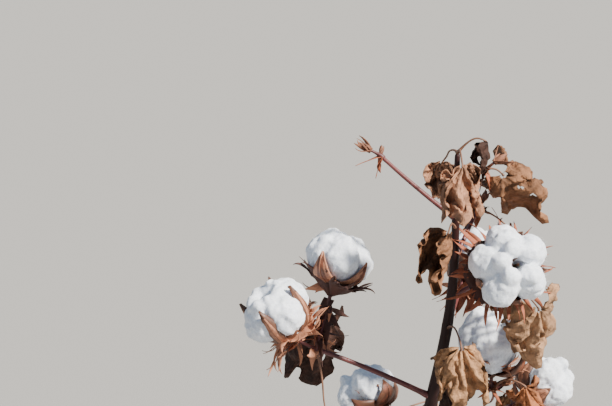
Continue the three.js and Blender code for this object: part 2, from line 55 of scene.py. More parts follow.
# Main stem and its limbs, as in the part's source
STEM = Row(
    height=740, foot_radius=8.4, tip_radius=2.5, taper=2.2, flare=4.5, flare_height=16,
    lean_x=(0, 2, 11, 25, 44, 45), lean_y=(0, 5, 7, 3, -3, 0), rings=22
)
LIMB = Row(radius=3.1, slim_radius=2.55, slim_under=100, tip_share=0.72, steps=4)
SHOOT = Row(radius=1.9, tip_share=0.6, step=47, zigzag=26, inset=3)
BOLL = Row(stalk=21, stalk_radius=1.7)
LEAF = Row(size=70, stalk=46, stalk_radius=1.05)
LINT = Row(radius=35, height=44)
LONG = Row(width=0.8, height=1.25)
BUD = Row(length=15, rise=30)

# The space that a boll or a leaf takes, and how the plant is filled, as in the part's source
BOLL_SPACE = Row(radius=34, middle=20, longer=14)
LEAF_SPACE = Row(radius=0.3, back=0.14, top=0.26, tip=0.76)
CROWN = Row(clear=2.5, reach=235, lowest=8, tries=30)
BOLL_DRAW = Row(
    stray=2.5, rise_share=0.5, size=(0.94, 1.06), shrink=0.008, four_locks=0.35, turn=(30, 75),
    stalk=(0.9, 1.2), rise=(28, 68), long=0.3
)
NODE_DRAW = Row(rise_kept=0.6, rise=(-6, 10), step=(0.9, 1.15))
LEAF_DRAW = Row(
    stray=8, more_stray=5, rise=18, stalk=(0.75, 1.25), droop=(0.35, 0.8), lean=(0.05, 0.4), swing=40,
    facing=50, size=(0.8, 1.12), shrink=0.01, close=(0.5, 0.72), roll=(0.2, 0.34), pleat=(0.07, 0.13)
)
LEAF_TURN = Row(first=70, extra=110)
SEEDS = Row(shoot=(7001, 977), shoot_leaf=(3301, 631), stem_leaf=(5501, 419), tip_leaf=(9103, 0))

# Where the random numbers and the noise of each finer detail start
DETAIL = Row(
    lint=400, fibres=77, case=700, bract=900, rag=1500, twig=50, end_bud=60, side_bud=300, boll_stalk=80,
    bare_stalk=3100, bare_crook=3200, leaf_stalk=140, form=11, tone=21, rim=0, rim_curl=90, dry=500,
    crease=900, worn=700, fine_worn=800
)


# A leaf by the heading of its stalk, as in the part's source. Tone picks its colour, form its folds, and
# grow is the size of the finer blade as a share.
def hang(heading, **rest):
    wish = dict(rise=20, stalk=1, size=1, drop=15, sure=False, lean=None, facing=None)
    wish.update(tone=None, form=None, grow=1)
    return Row(heading=heading, **{**wish, **rest})


# A leaf whose place is set, and not drawn unless something stands in its way
def firm(heading, **rest):
    return hang(heading, sure=True, **rest)


# A boll by the heading and the rise of its stalk. Bracts names the tones of its plates and fringes, drop
# how far down the stalk they start, pitch the slope at which they spread, spread and teeth the lengths of
# plates and fringes as shares, aim the way that the first one points, curl how they bend up, case the tones
# of the valves' edges and faces, grip how far the valves rise, rags its loose strips, and puff how round
# its locks stay.
def look(heading, rise, **rest):
    wish = dict(stalk=1, size=1, long=0, twist=None, locks=None)
    wish.update(bracts=None, drop=4, pitch=None, spread=1, teeth=1, aim=0, curl=None)
    wish.update(case=None, grip=None, rags=1, puff=0)
    return Row(heading=heading, rise=rise, **{**wish, **rest})


# A limb by its height on the stem, its heading, rise, length, turn and count of bolls, with the leaf under
# it. Step is the length of its twig as a share, and bare the stalk on it that has lost its blade.
def limb(at, heading, rise, length, turn, bolls, stem_leaf=None, **rest):
    wish = dict(at=at, heading=heading, rise=rise, length=length, turn=turn, bolls=bolls, stem_leaf=stem_leaf)
    wish.update(step=None, looks=None, leaves=None, bare=None)
    return Row(**{**wish, **rest})


# The bolls that show most, with the part's own places and sizes. The tilted one's locks are turned
# otherwise than in the part, and the long one has its own number of them.
GOBLET_BOLL = look(
    60, 60, stalk=3.2, locks=4, twist=233, bracts=("dark", "dark"), drop=17, pitch=0.5, spread=1.6,
    aim=90, curl=0.1, case=("tan", "rust"), grip=0.5, rags=24
)
TILTED_BOLL = look(
    192, 58, stalk=0.8, locks=4, twist=80, bracts=("tan", "tan"), pitch=-0.3, spread=1.15,
    case=("brown", "tan"), grip=1.7, rags=8
)
LONG_BOLL = look(110, 75, stalk=0.85, long=1, locks=3, twist=95, bracts=("rust", "tan"), pitch=0.7)
LARGE_BOLL = look(
    284, 36, stalk=1.12, size=1.01, locks=5, twist=3, bracts=("dark", "rust"), pitch=0, spread=1.45,
    teeth=1.4, aim=-15, curl=0, rags=8, puff=1
)

# The leaves that show most
# The dark tone of the leaf that hangs under the limb is partly painted shade, for the shadow that it hangs in
DARK_LEAF = firm(60, stalk=0.8, size=0.82, lean=0.1, facing=285, tone="dark", form="flat", grow=1.3)
RUST_LEAF = firm(330, rise=55, stalk=1.25, size=0.8, lean=0.4, facing=285, tone="rust")
PLEATED_LEAF = firm(282, rise=42, stalk=1.35, size=1.08, drop=5, facing=275, tone="straw", form="pleated")
TAN_LEAF = firm(335, rise=0, stalk=0.95, size=0.92, lean=0.1, facing=285, tone="tan", form="flat", grow=1.05)
HOOD_LEAF = firm(253, rise=52, stalk=1.15, size=0.85, drop=10, facing=60, tone="brown", form="hood")
# The wide leaf takes the darker brown tone partly as painted shade, for the shade under its arched folds
WIDE_LEAF = firm(350, stalk=0.35, size=1.1, lean=1.4, facing=300, tone="brown", form="wide")
ROSE_LEAF = firm(280, rise=52, stalk=0.85, lean=0.6, facing=280, tone="rose")
BUD_LEAF = firm(10, rise=72, size=0.5, tone="dark")

# One row for each limb, from the ground up, with the part's own sizes and angles
LIMBS = [
    limb(104, 25, 38, 120, -14, 2, hang(330)),
    limb(142, 205, 36, 128, -14, 2, hang(262)),
    limb(180, 290, 34, 118, -12, 1, hang(350)),
    limb(220, 78, 36, 122, -14, 2, hang(20)),
    limb(262, 158, 30, 130, -10, 1, hang(110)),
    limb(304, 335, 30, 122, -8, 2, hang(40)),
    limb(346, 232, 24, 112, -6, 1, hang(175)),
    limb(380, 104, 8, 96, 4, 1, hang(60), looks=[look(130, 30)]),
    limb(430, 30, 4, 106, 4, 1, hang(75), looks=[look(20, 30)]),
    limb(
        484, 187, 31, 128, -5, 2, hang(250, tone="dark"), step=0.4, bare=(300, -72, 62, 0.08),
        looks=[GOBLET_BOLL, TILTED_BOLL], leaves=[DARK_LEAF]
    ),
    limb(497, 4, -6, 56, 0, 1, looks=[LONG_BOLL], leaves=[RUST_LEAF, hang(40)]),
    limb(566, 76, -2, 74, 4, 1, PLEATED_LEAF, looks=[look(60, 20)], leaves=[hang(50)]),
    limb(596, 354, 31, 46, 4, 1, looks=[LARGE_BOLL], leaves=[TAN_LEAF]),
    limb(632, 62, 34, 60, -6, 0, leaves=[hang(75, rise=0, size=0.85)]),
    limb(675, 176, 39, 92, 4, 0, HOOD_LEAF, leaves=[]),
    limb(704, 20, 30, 32, 0, 0, hang(330), leaves=[WIDE_LEAF]),
]
TIP_LEAVES = [ROSE_LEAF, BUD_LEAF, hang(80, rise=10, stalk=0.6, size=0.8, tone="rose")]

DOWN = np.array((0.0, 0.0, -1.0))
UP = np.array((0.0, 0.0, 1.0))


def toward(heading, rise):
    """The unit vector of a heading and a rise in degrees."""
    h, r = math.radians(heading), math.radians(rise)
    return np.array((math.cos(h) * math.cos(r), math.sin(h) * math.cos(r), math.sin(r)))


def unit(vectors):
    lengths = np.sqrt((vectors * vectors).sum(-1, keepdims=True))
    return vectors / np.maximum(lengths, 1e-9)


def given(wished, drawn):
    """What is wished for, or else what was drawn."""
    return drawn if wished is None else wished


def one_of(random, choices):
    return choices[int(random.integers(len(choices)))]


def either_way(random, most):
    return random.uniform(-most, most)


class Draws:
    """Repeatable random numbers, the same row as the part's source draws."""

    def __init__(self, seed, index):
        self.state = seed[0] + index * seed[1]

    def next(self):
        self.state = (self.state * 16807) % 2147483647
        return self.state / 2147483647

    def between(self, low, high):
        return low + (high - low) * self.next()


def smooth_at(values, share):
    """A smooth curve through equally spaced values, read at a share from 0 to 1."""
    spans = len(values) - 1
    span = min(math.floor(share * spans), spans - 1)
    t = share * spans - span
    b, c = values[span], values[span + 1]
    a = values[span - 1] if span > 0 else 2 * b - c
    d = values[span + 2] if span + 2 <= spans else 2 * c - b
    square = (2 * a - 5 * b + 4 * c - d) * t * t
    cube = (3 * b - a - 3 * c + d) * t * t * t
    return 0.5 * (2 * b + (c - a) * t + square + cube)


def stem_point(height):
    share = height / STEM.height
    return np.array((smooth_at(STEM.lean_x, share), smooth_at(STEM.lean_y, share), height))


def stem_radius(height):
    share = height / STEM.height
    taper = STEM.tip_radius + (STEM.foot_radius - STEM.tip_radius) * (1 - share**STEM.taper)
    return taper + STEM.flare * math.exp(-height / STEM.flare_height)


def limb_line(row):
    points = [stem_point(row.at)]
    for i in range(LIMB.steps):
        rise = row.rise + (row.turn * i) / (LIMB.steps - 1)
        points.append(points[i] + toward(row.heading, rise) * row.length / LIMB.steps)
    return points


def limb_radius(row):
    return LIMB.slim_radius if row.length < LIMB.slim_under else LIMB.radius


def shoot_way(row):
    """The way that a limb's tip points."""
    return toward(row.heading, row.rise + row.turn)


class Space:
    """The space that placed things take, as straight capsules that later things keep clear of."""

    def __init__(self):
        self.capsules = []

    def take(self, capsules):
        self.capsules.extend(capsules)

    def take_line(self, points, radius):
        self.take([(points[i - 1], points[i], radius) for i in range(1, len(points))])

    def gaps(self, capsule):
        """The clear distance from one capsule to each that is taken."""
        start, end, radius = capsule
        others = np.array([c[0] for c in self.capsules])
        other = np.array([c[1] for c in self.capsules]) - others
        radii = np.array([c[2] for c in self.capsules])
        along = end - start
        apart = start - others
        a = max(along @ along, 1e-9)
        e = np.maximum((other * other).sum(1), 1e-9)
        b = other @ along
        c = apart @ along
        f = (other * apart).sum(1)
        spread = a * e - b * b
        usable = np.where(spread > 1e-9, spread, 1)
        s = np.where(spread > 1e-9, np.clip((b * f - c * e) / usable, 0, 1), 0)
        t = (b * s + f) / e
        s = np.where(t < 0, np.clip(-c / a, 0, 1), np.where(t > 1, np.clip((b - c) / a, 0, 1), s))
        t = np.clip(t, 0, 1)
        apart = (start + along * s[:, None]) - (others + other * t[:, None])
        return np.sqrt((apart * apart).sum(1)) - radii - radius

    def is_free(self, capsules):
        for capsule in capsules:
            for end in capsule[:2]:
                if end[2] - capsule[2] < CROWN.lowest:
                    return False
                if math.hypot(end[0], end[1]) + capsule[2] > CROWN.reach:
                    return False
            if self.gaps(capsule).min() < CROWN.clear:
                return False
        return True


def try_boll(space, start, wish, draws):
    for i in range(CROWN.tries):
        stray = i * BOLL_DRAW.stray
        heading = wish.heading + draws.between(-stray, stray)
        rise = wish.rise + draws.between(-stray, stray) * BOLL_DRAW.rise_share
        size = wish.size * draws.between(*BOLL_DRAW.size) * (1 - i * BOLL_DRAW.shrink)
        axis = toward(heading, rise)
        boll = Row(
            start=start,
            base=start + axis * BOLL.stalk * wish.stalk,
            axis=axis,
            size=size,
            locks=given(wish.locks, 4 if draws.next() < BOLL_DRAW.four_locks else 5),
            long=wish.long,
            twist=given(wish.twist, draws.between(0, 360)),
            wish=wish,
        )
        low = boll.base + axis * BOLL_SPACE.middle * size
        high = low + axis * BOLL_SPACE.longer * size * boll.long
        capsules = [(low, high, BOLL_SPACE.radius * size * (LONG.width if boll.long else 1))]
        if space.is_free(capsules):
            space.take(capsules)
            return boll
    return None


def stalk_line(start, heading, rise, length, droop):
    shares = [i / 4 for i in range(5)]
    return [start + toward(heading, rise) * length * t + DOWN * length * droop * t * t for t in shares]


def leaf_out(leaf):
    """The way that a blade's outer face looks, square to the way that it hangs."""
    out = toward(leaf.facing, 0)
    return unit(out - leaf.down * (out @ leaf.down))


def try_leaf(space, start, wish, draws):
    for i in range(CROWN.tries):
        sure = wish.sure and i == 0

        def draw(low, high):
            drawn = draws.between(low, high)
            return (low + high) / 2 if sure else drawn

        stray = LEAF_DRAW.stray + i * LEAF_DRAW.more_stray
        heading = wish.heading + draw(-stray, stray)
        rise = wish.rise + draw(-LEAF_DRAW.rise, LEAF_DRAW.rise)
        length = LEAF.stalk * wish.stalk * draw(*LEAF_DRAW.stalk)
        stalk = stalk_line(start, heading, rise, length, draw(*LEAF_DRAW.droop))
        lean = given(wish.lean, draw(*LEAF_DRAW.lean))
        swing = heading + draw(-LEAF_DRAW.swing, LEAF_DRAW.swing)
        leaf = Row(
            stalk=stalk,
            root=stalk[4],
            down=unit(toward(swing, 0) * lean + DOWN),
            facing=given(wish.facing, heading + draw(-LEAF_DRAW.facing, LEAF_DRAW.facing)),
            size=LEAF.size * wish.size * draw(*LEAF_DRAW.size) * (1 - i * LEAF_DRAW.shrink),
            close=draws.between(*LEAF_DRAW.close),
            roll=draws.between(*LEAF_DRAW.roll),
            pleat=draws.between(*LEAF_DRAW.pleat),
            wish=wish,
        )
        middle = leaf.root - leaf_out(leaf) * leaf.size * LEAF_SPACE.back
        top = middle + leaf.down * leaf.size * LEAF_SPACE.top
        tip = middle + leaf.down * leaf.size * LEAF_SPACE.tip
        capsules = [(top, tip, leaf.size * LEAF_SPACE.radius), (stalk[2], stalk[4], LEAF.stalk_radius)]
        if space.is_free(capsules):
            space.take(capsules)
            return leaf
    return None


def hang_leaves(space, places, draws):
    return [leaf for leaf in (try_leaf(space, start, wish, draws) for start, wish in places) if leaf]


def grow_shoot(space, row, index):
    draws = Draws(SEEDS.shoot, index)
    nodes = [limb_line(row)[LIMB.steps]]
    bolls = []
    heading = row.heading
    rise = row.rise + row.turn
    side = 1 if index % 2 else -1
    for k in range(row.bolls):
        if k > 0:
            heading -= side * SHOOT.zigzag
            rise = rise * NODE_DRAW.rise_kept + draws.between(*NODE_DRAW.rise)
            step = SHOOT.step * given(row.step, draws.between(*NODE_DRAW.step))
            nodes.append(nodes[k - 1] + toward(heading, rise) * step)
            side = -side
        turn = side * draws.between(*BOLL_DRAW.turn)
        stalk = draws.between(*BOLL_DRAW.stalk)
        long = 1 if draws.next() < BOLL_DRAW.long else 0
        drawn = look(heading + turn, draws.between(*BOLL_DRAW.rise), stalk=stalk, long=long)
        boll = try_boll(space, nodes[k], row.looks[k] if row.looks else drawn, draws)
        if boll:
            bolls.append(boll)
    space.take_line(nodes, SHOOT.radius)
    return Row(row=row, index=index, nodes=nodes, bolls=bolls, heading=heading, leaves=[])


def hang_shoot_leaves(space, shoot):
    draws = Draws(SEEDS.shoot_leaf, shoot.index)
    last = shoot.nodes[-1]

    def side(k):
        return -1 if (shoot.index + k) % 2 else 1

    places = [(node, hang(shoot.heading + side(k) * LEAF_TURN.first)) for k, node in enumerate(shoot.nodes)]
    if shoot.index % 2:
        places.append((last, hang(shoot.heading - side(len(shoot.nodes) - 1) * LEAF_TURN.extra)))
    if shoot.row.leaves is not None:
        places = [(last, wish) for wish in shoot.row.leaves]
    shoot.leaves = hang_leaves(space, places, draws)


def grow_plant():
    """Shares the space out in the source's order: stem, limbs, bolls, shoot, stem and tip leaves."""
    space = Space()
    for i in range(STEM.rings):
        low = STEM.height * i / STEM.rings
        high = low + STEM.height / STEM.rings
        space.take([(stem_point(low), stem_point(high), stem_radius(low))])
    for row in LIMBS:
        space.take_line(limb_line(row), limb_radius(row))
    shoots = [grow_shoot(space, row, i) for i, row in enumerate(LIMBS)]
    for shoot in shoots:
        hang_shoot_leaves(space, shoot)
    leaves = [leaf for shoot in shoots for leaf in shoot.leaves]
    for i, row in enumerate(LIMBS):
        if row.stem_leaf:
            start = stem_point(row.at - row.stem_leaf.drop)
            leaves += hang_leaves(space, [(start, row.stem_leaf)], Draws(SEEDS.stem_leaf, i))
    tip = [(stem_point(STEM.height), wish) for wish in TIP_LEAVES]
    leaves += hang_leaves(space, tip, Draws(SEEDS.tip_leaf, 0))
    return Row(shoots=shoots, bolls=[boll for shoot in shoots for boll in shoot.bolls], leaves=leaves)


PLANT = grow_plant()


# Meshes from arrays
class Heap:
    """The points and faces of one joined piece, in millimetres."""

    def __init__(self):
        self.points = []
        self.faces = []
        self.count = 0

    def add(self, points, *faces):
        points = np.asarray(points, float).reshape(-1, 3)
        self.points.append(points)
        self.faces.extend(np.asarray(part, int) + self.count for part in faces if len(part))
        self.count += len(points)

    def make(self, name, material):
        points = np.concatenate(self.points) / 1000
        sizes = np.concatenate([np.full(len(part), part.shape[1]) for part in self.faces])
        corners = np.concatenate([part.ravel() for part in self.faces])
        mesh = bpy.data.meshes.new(name)
        mesh.vertices.add(len(points))
        mesh.vertices.foreach_set("co", points.ravel())
        mesh.loops.add(len(corners))
        mesh.loops.foreach_set("vertex_index", corners)
        mesh.polygons.add(len(sizes))
        mesh.polygons.foreach_set("loop_start", np.concatenate(([0], np.cumsum(sizes)[:-1])))
        mesh.update(calc_edges=True)
        mesh.validate()
        mesh.shade_smooth()
        mesh.materials.append(material)
        piece = bpy.data.objects.new(name, mesh)
        bpy.context.scene.collection.objects.link(piece)
        return piece


def make_pieces(name, heaps, materials):
    """One piece for each heap that holds anything, named and dressed by its tone."""
    return [heap.make(f"{name}_{tone}", materials[tone]) for tone, heap in heaps.items() if heap.count]


def place(piece, nodes=()):
    """Puts a finished piece on the plant's one body, and hides the nodes that it stands for."""
    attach(piece, "root")
    if nodes:
        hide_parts(*nodes)


def place_all(pieces, nodes=()):
    """Places some pieces, the first of which stands for the nodes."""
    for index, piece in enumerate(pieces):
        place(piece, () if index else nodes)


def nodes_named(*starts):
    return [name for name in NODES if name.startswith(starts)]


def pick(*pieces):
    """Selects only the given pieces and makes the last of them active."""
    bpy.ops.object.select_all(action="DESELECT")
    for piece in pieces:
        piece.select_set(True)
        bpy.context.view_layer.objects.active = piece


def apply_modifier(piece, name, kind, **settings):
    """Gives the picked piece a modifier and applies it."""
    modifier = piece.modifiers.new(name, kind)
    for setting, value in settings.items():
        setattr(modifier, setting, value)
    bpy.ops.object.modifier_apply(modifier=modifier.name)


def read_mesh(mesh, kind="co"):
    """The places or the normals of a mesh's points."""
    values = np.zeros(len(mesh.vertices) * 3)
    mesh.vertices.foreach_get(kind, values)
    return values.reshape(-1, 3)


def move_points(mesh, points):
    """Moves a mesh's points to places in millimetres."""
    mesh.vertices.foreach_set("co", (points / 1000).ravel())
    mesh.update()


def lattice(points, size, seed):
    """Smooth noise from -1 to 1 at points, with features of the given size."""
    grid = points / size + seed * 17.31
    cell = np.floor(grid).astype(np.int64)
    local = grid - cell
    fade = local * local * (3 - 2 * local)
    total = np.zeros(points.shape[:-1])
    for corner in range(8):
        offset = np.array((corner & 1, corner >> 1 & 1, corner >> 2 & 1))
        spot = cell + offset
        mixed = spot[..., 0] * 73856093 ^ spot[..., 1] * 19349663 ^ spot[..., 2] * 83492791
        mixed = (mixed ^ mixed >> 13) * 1274126177 & 0x7FFFFFFF
        value = (mixed & 0xFFFF) / 32767.5 - 1
        weight = np.prod(np.where(offset, fade, 1 - fade), axis=-1)
        total += value * weight
    return total


def drift(points, size, seed):
    """A smooth shift for each point, from -1 to 1 each way."""
    return np.stack([lattice(points, size, seed + axis) for axis in range(3)], -1)


def turned(first, second, angle):
    """The way at an angle in radians from the first of two square ways towards the second."""
    return first * math.cos(angle) + second * math.sin(angle)


def ways_round(across, beside, sides):
    """The ways all round each place of a line, [place, side, 3]."""
    angles = (np.arange(sides) / sides * 2 * math.pi)[:, None]
    return across[:, None] * np.cos(angles) + beside[:, None] * np.sin(angles)


def frames_along(points):
    """Unit vectors across and beside a line of points, carried on without a twist."""
    along = unit(np.gradient(points, axis=0))
    across = np.array((1.0, 0.0, 0.0)) if abs(along[0][0]) < 0.8 else np.array((0.0, 1.0, 0.0))
    rows = []
    for direction in along:
        across = unit(across - direction * (across @ direction))
        rows.append(across)
    across = np.array(rows)
    return across, np.cross(along, across)


def finer(points, count):
    """A line's points, set out again at even steps on a smooth curve."""
    columns = np.asarray(points, float).T
    return np.array([[smooth_at(column, share) for column in columns] for share in np.linspace(0, 1, count)])


def crook(points, amount, seed):
    """Makes a smooth line a little crooked, with its ends kept."""
    points = np.asarray(points, float)
    bow = np.sin(np.linspace(0, math.pi, len(points)))[:, None]
    return points + drift(points, CROOK_SIZE, seed) * bow * amount


def grid_faces(rows, columns):
    at = (np.arange(rows - 1)[:, None] * columns + np.arange(columns - 1)).ravel()
    return np.stack((at, at + 1, at + columns + 1, at + columns), -1)


def ring_faces(rings, sides):
    """The faces of a tube whose rings follow each other, with flat ends."""
    k = np.arange(sides)
    starts = (np.arange(rings - 1) * sides)[:, None]
    a = starts + k
    b = starts + (k + 1) % sides
    quads = np.stack((a, b, b + sides, a + sides), -1).reshape(-1, 4)
    fan = np.arange(1, sides - 1)
    last = (rings - 1) * sides
    low = np.stack((np.zeros_like(fan), fan + 1, fan), -1)
    high = np.stack((np.full_like(fan, last), last + fan, last + fan + 1), -1)
    return quads, np.concatenate((low, high))


def add_tube(heap, points, radii, sides=7):
    points = np.asarray(points, float)
    radii = np.asarray(radii, float)[:, None, None]
    around = ways_round(*frames_along(points), sides)
    heap.add(points[:, None] + around * radii, *ring_faces(len(points), sides))


def point_normals(points, faces):
    """Unit normals at points, from the triangles or quads round each."""
    normal = np.cross(points[faces[:, 2]] - points[faces[:, 0]], points[faces[:, -1]] - points[faces[:, 1]])
    normals = np.zeros_like(points)
    for corner in range(faces.shape[1]):
        np.add.at(normals, faces[:, corner], normal)
    return unit(normals)


def add_sheet(heap, points, faces, wall):
    """A closed thin sheet round a surface of triangles or quads."""
    points = np.asarray(points, float).reshape(-1, 3)
    normals = point_normals(points, faces) * wall / 2
    edges = np.concatenate([faces[:, [i, (i + 1) % faces.shape[1]]] for i in range(faces.shape[1])])
    span = len(points) + 1
    keys = edges[:, 0] * span + edges[:, 1]
    rim = edges[~np.isin(keys, edges[:, 1] * span + edges[:, 0])]
    back = len(points)
    sides = np.stack((rim[:, 1], rim[:, 0], rim[:, 0] + back, rim[:, 1] + back), -1)
    heap.add(np.concatenate((points + normals, points - normals)), faces, faces[:, ::-1] + back, sides)


# Bark: rods cut into rings, ridged by noise that is stretched along them, thicker at nodes and collars
BARK = Row(
    rough=(2.2, 26), fine=(5, 9), fine_share=0.5, node=(5.5, 0.1), tip=(5, 0.16), collar=(5, 0.35),
    tip_inset=0.2
)
STEM_BARK = Row(sides=16, cuts=150, relief=0.03, seed=3, points=75)
LIMB_BARK = Row(sides=10, cuts=30, relief=0.035, seed=20, points=26)


def rod(name, line, radius_at, bark, seed, material):
    """A primitive cylinder cut into rings, swollen and ridged as bark, and laid along a line."""
    pick()
    bpy.ops.mesh.primitive_cylinder_add(vertices=bark.sides, radius=1, depth=1, location=(0, 0, 0.5))
    piece = bpy.context.object
    piece.name = name
    bpy.ops.object.transform_apply(location=True)
    bpy.ops.object.mode_set(mode="EDIT")
    bpy.ops.mesh.select_mode(type="EDGE")
    bpy.ops.mesh.select_all(action="DESELECT")
    bpy.ops.object.mode_set(mode="OBJECT")
    for edge in piece.data.edges:
        low, high = (piece.data.vertices[i].co.z for i in edge.vertices)
        edge.select = abs(high - low) > 0.5
    bpy.ops.object.mode_set(mode="EDIT")
    bpy.ops.mesh.subdivide(number_cuts=bark.cuts)
    bpy.ops.object.mode_set(mode="OBJECT")
    points = read_mesh(piece.data)
    steps = np.sqrt((np.diff(line, axis=0) ** 2).sum(1))
    reached = np.concatenate(([0], np.cumsum(steps)))
    height = points[:, 2] * reached[-1]

    def at_height(values):
        return np.stack([np.interp(height, reached, values[:, axis]) for axis in range(3)], -1)

    def lumps(scale, number):
        around, along = scale
        spots = (points[:, 0] * around, points[:, 1] * around, height / along)
        return lattice(np.stack(spots, -1), 1, number)

    ridges = lumps(BARK.rough, seed) + BARK.fine_share * lumps(BARK.fine, seed + 1)
    radius = (radius_at(height) * (1 + bark.relief * ridges))[:, None]
    across, beside = (unit(at_height(part)) for part in frames_along(line))
    placed = at_height(line) + across * (points[:, :1] * radius) + beside * (points[:, 1:2] * radius)
    move_points(piece.data, placed)
    pick(piece)
    apply_modifier(piece, "Round", "SUBSURF", levels=1, render_levels=1)
    piece.data.shade_smooth()
    piece.data.materials.append(material)
    return piece


def swelling(height, places, width, gain):
    """How much thicker a rod is near some places."""
    near = np.exp(-(((height[:, None] - np.asarray(places)[None]) / width) ** 2))
    return 1 + gain * near.sum(1)


def make_stem_bark(material):
    heights = np.linspace(0, STEM.height, STEM_BARK.points)
    line = np.array([stem_point(height) for height in heights])
    radii = np.array([stem_radius(height) for height in heights])
    nodes = [row.at for row in LIMBS]

    def radius_at(length):
        height = length * STEM.height / max(length.max(), 1)
        return np.interp(height, heights, radii) * swelling(height, nodes, *BARK.node)

    return rod("stem_bark", line, radius_at, STEM_BARK, STEM_BARK.seed, material)


def make_limb_bark(row, index, material):
    points = limb_line(row)
    points[LIMB.steps] = points[LIMB.steps] - shoot_way(row) * SHOOT.inset * BARK.tip_inset
    thick = limb_radius(row)
    slim = thick * LIMB.tip_share

    def radius_at(reached):
        share = reached / row.length
        collar = BARK.collar[1] * np.exp(-(((reached - stem_radius(row.at)) / BARK.collar[0]) ** 2))
        return (thick + (slim - thick) * share) * (1 + collar) * swelling(reached, [row.length], *BARK.tip)

    name = f"limb_bark_{index + 1:02d}"
    return rod(name, finer(points, LIMB_BARK.points), radius_at, LIMB_BARK, LIMB_BARK.seed + index, material)


# Lint: each lock is a heap of soft balls round its seeds, run together and smoothed into one pillow.
# The lock swells in its middle, and out, up, radius and side place its balls from its foot to its top.
LOCK = Row(
    rows=5, long_rows=7, stray=0.05, lift=(-3.5, 4.5), away=(-3.5, 0.5), swell=(0.12, 0.8),
    out=(0.34, 0.28, 0.03), radius=(0.13, 0.235), foot=2, up=(0.7, 1.04, 1.7), side=(1.16, 0.9),
    side_back=2.5, scatter=0.8, vary=(0.92, 1.04)
)
PUFF = Row(out=1.2, radius=0.12, side=0.8, septum=0.25)
SMOOTHING = Row(factor=0.6, iterations=4)
TUFTS = ((10, 1.1, 5), (4.6, 0.8, 6), (2.6, 0.4, 7))
TUFT_STREAKS = Row(squash=(1, 1, 0.4), size=4, height=0.7, seed=9)
TUFT_DRIFT = Row(size=4, amount=0.5, seed=8)
FIBRE = Row(
    thick=0.07, sunk=0.6, length=(1.8, 5), outward=0.6, stray=0.5, long_ones=0.04, bend=0.55,
    parts=(0.5, 0.6), taper=0.7
)


def ball_shape():
    """The points and the faces of a round ball, from Blender's own icosphere."""
    pick()
    bpy.ops.mesh.primitive_ico_sphere_add(subdivisions=3, radius=1)
    piece = bpy.context.object
    points = np.array([vertex.co for vertex in piece.data.vertices])
    faces = np.array([polygon.vertices for polygon in piece.data.polygons])
    bpy.data.objects.remove(piece)
    return points, faces


def boll_frame(boll):
    """The boll's axis and two ways square to it, turned as the source turns its columns."""
    axis = boll.axis
    cross = np.cross(UP, axis)
    sine = np.sqrt(cross @ cross)
    cosine = UP @ axis
    around = cross / sine if sine > 1e-9 else np.array((1.0, 0.0, 0.0))
    twist = math.radians(boll.twist)
    level = np.array((math.cos(twist), math.sin(twist), 0.0))
    first = level * cosine + np.cross(around, level) * sine + around * (around @ level) * (1 - cosine)
    return first, np.cross(axis, first), axis


def on_boll(boll, points):
    """Places points made round the origin, with the axis along +Z, on their boll."""
    first, second, axis = boll_frame(boll)
    flat = np.asarray(points, float)
    spread = flat[..., :1] * first + flat[..., 1:2] * second + flat[..., 2:3] * axis
    return boll.base + spread * boll.size


def lint_size(boll):
    """The radius and the height of a boll's lint, before its own size."""
    if boll.long:
        return LINT.radius * LONG.width, LINT.height * LONG.height
    return LINT.radius, LINT.height


def lock_balls(boll, k, random):
    """The middles and the radii of one lock's balls, round the origin with the axis along +Z."""
    width, height = lint_size(boll)
    puff = boll.wish.puff
    angle = (k + 0.5) / boll.locks * 2 * math.pi + either_way(random, LOCK.stray)
    radial = np.array((math.cos(angle), math.sin(angle), 0))
    tangent = np.array((-math.sin(angle), math.cos(angle), 0))
    half = math.tan(math.pi / boll.locks)
    lift = random.uniform(*LOCK.lift)
    away = random.uniform(*LOCK.away)
    rows = LOCK.long_rows if boll.long else LOCK.rows
    balls = []
    for row in range(rows):
        u = row / (rows - 1)
        swell = math.sin(math.pi * (LOCK.swell[0] + LOCK.swell[1] * u))
        out = width * (LOCK.out[0] + LOCK.out[1] * swell + LOCK.out[2] * u) + away * u + PUFF.out * puff
        radius = width * (LOCK.radius[0] + LOCK.radius[1] * swell)
        climb = height * LOCK.up[1] - radius * LOCK.up[2] - LOCK.foot
        up = radius * LOCK.up[0] + LOCK.foot + climb * u + lift * u
        radius *= 1 + PUFF.radius * puff
        spread = max(out * half - radius * LOCK.side[0], 0) * LOCK.side[1] * (1 - PUFF.side * puff)
        for side in (-1, 0, 1):
            beside = tangent * side * min(spread, radius)
            spot = radial * (out - abs(side) * LOCK.side_back) + beside + UP * up
            balls.append((spot + random.normal(0, LOCK.scatter, 3), radius * random.uniform(*LOCK.vary)))
    return balls


def grow_lint(bolls, shape, voxel, name, material):
    """Runs the balls of some bolls together, smooths them, and roughens the result into soft tufts."""
    heap = Heap()
    for number, boll in bolls:
        random = np.random.default_rng(DETAIL.lint + number)
        for k in range(boll.locks):
            for spot, radius in lock_balls(boll, k, random):
                heap.add(on_boll(boll, spot) + shape[0] * radius * boll.size, shape[1])
    piece = heap.make(name, material)
    pick(piece)
    apply_modifier(piece, "Union", "REMESH", mode="VOXEL", voxel_size=voxel / 1000)
    apply_modifier(piece, "Soften", "SMOOTH", factor=SMOOTHING.factor, iterations=SMOOTHING.iterations)
    points = read_mesh(piece.data) * 1000
    normals = read_mesh(piece.data, "normal")
    tufts = sum(height * lattice(points, size, seed) for size, height, seed in TUFTS)
    streaks = lattice(points * TUFT_STREAKS.squash, TUFT_STREAKS.size, TUFT_STREAKS.seed)
    tufts += TUFT_STREAKS.height * streaks
    shift = drift(points, TUFT_DRIFT.size, TUFT_DRIFT.seed) * TUFT_DRIFT.amount
    points = points + normals * tufts[:, None] + shift
    move_points(piece.data, points)
    piece.data.shade_smooth()
    return piece, points, normals


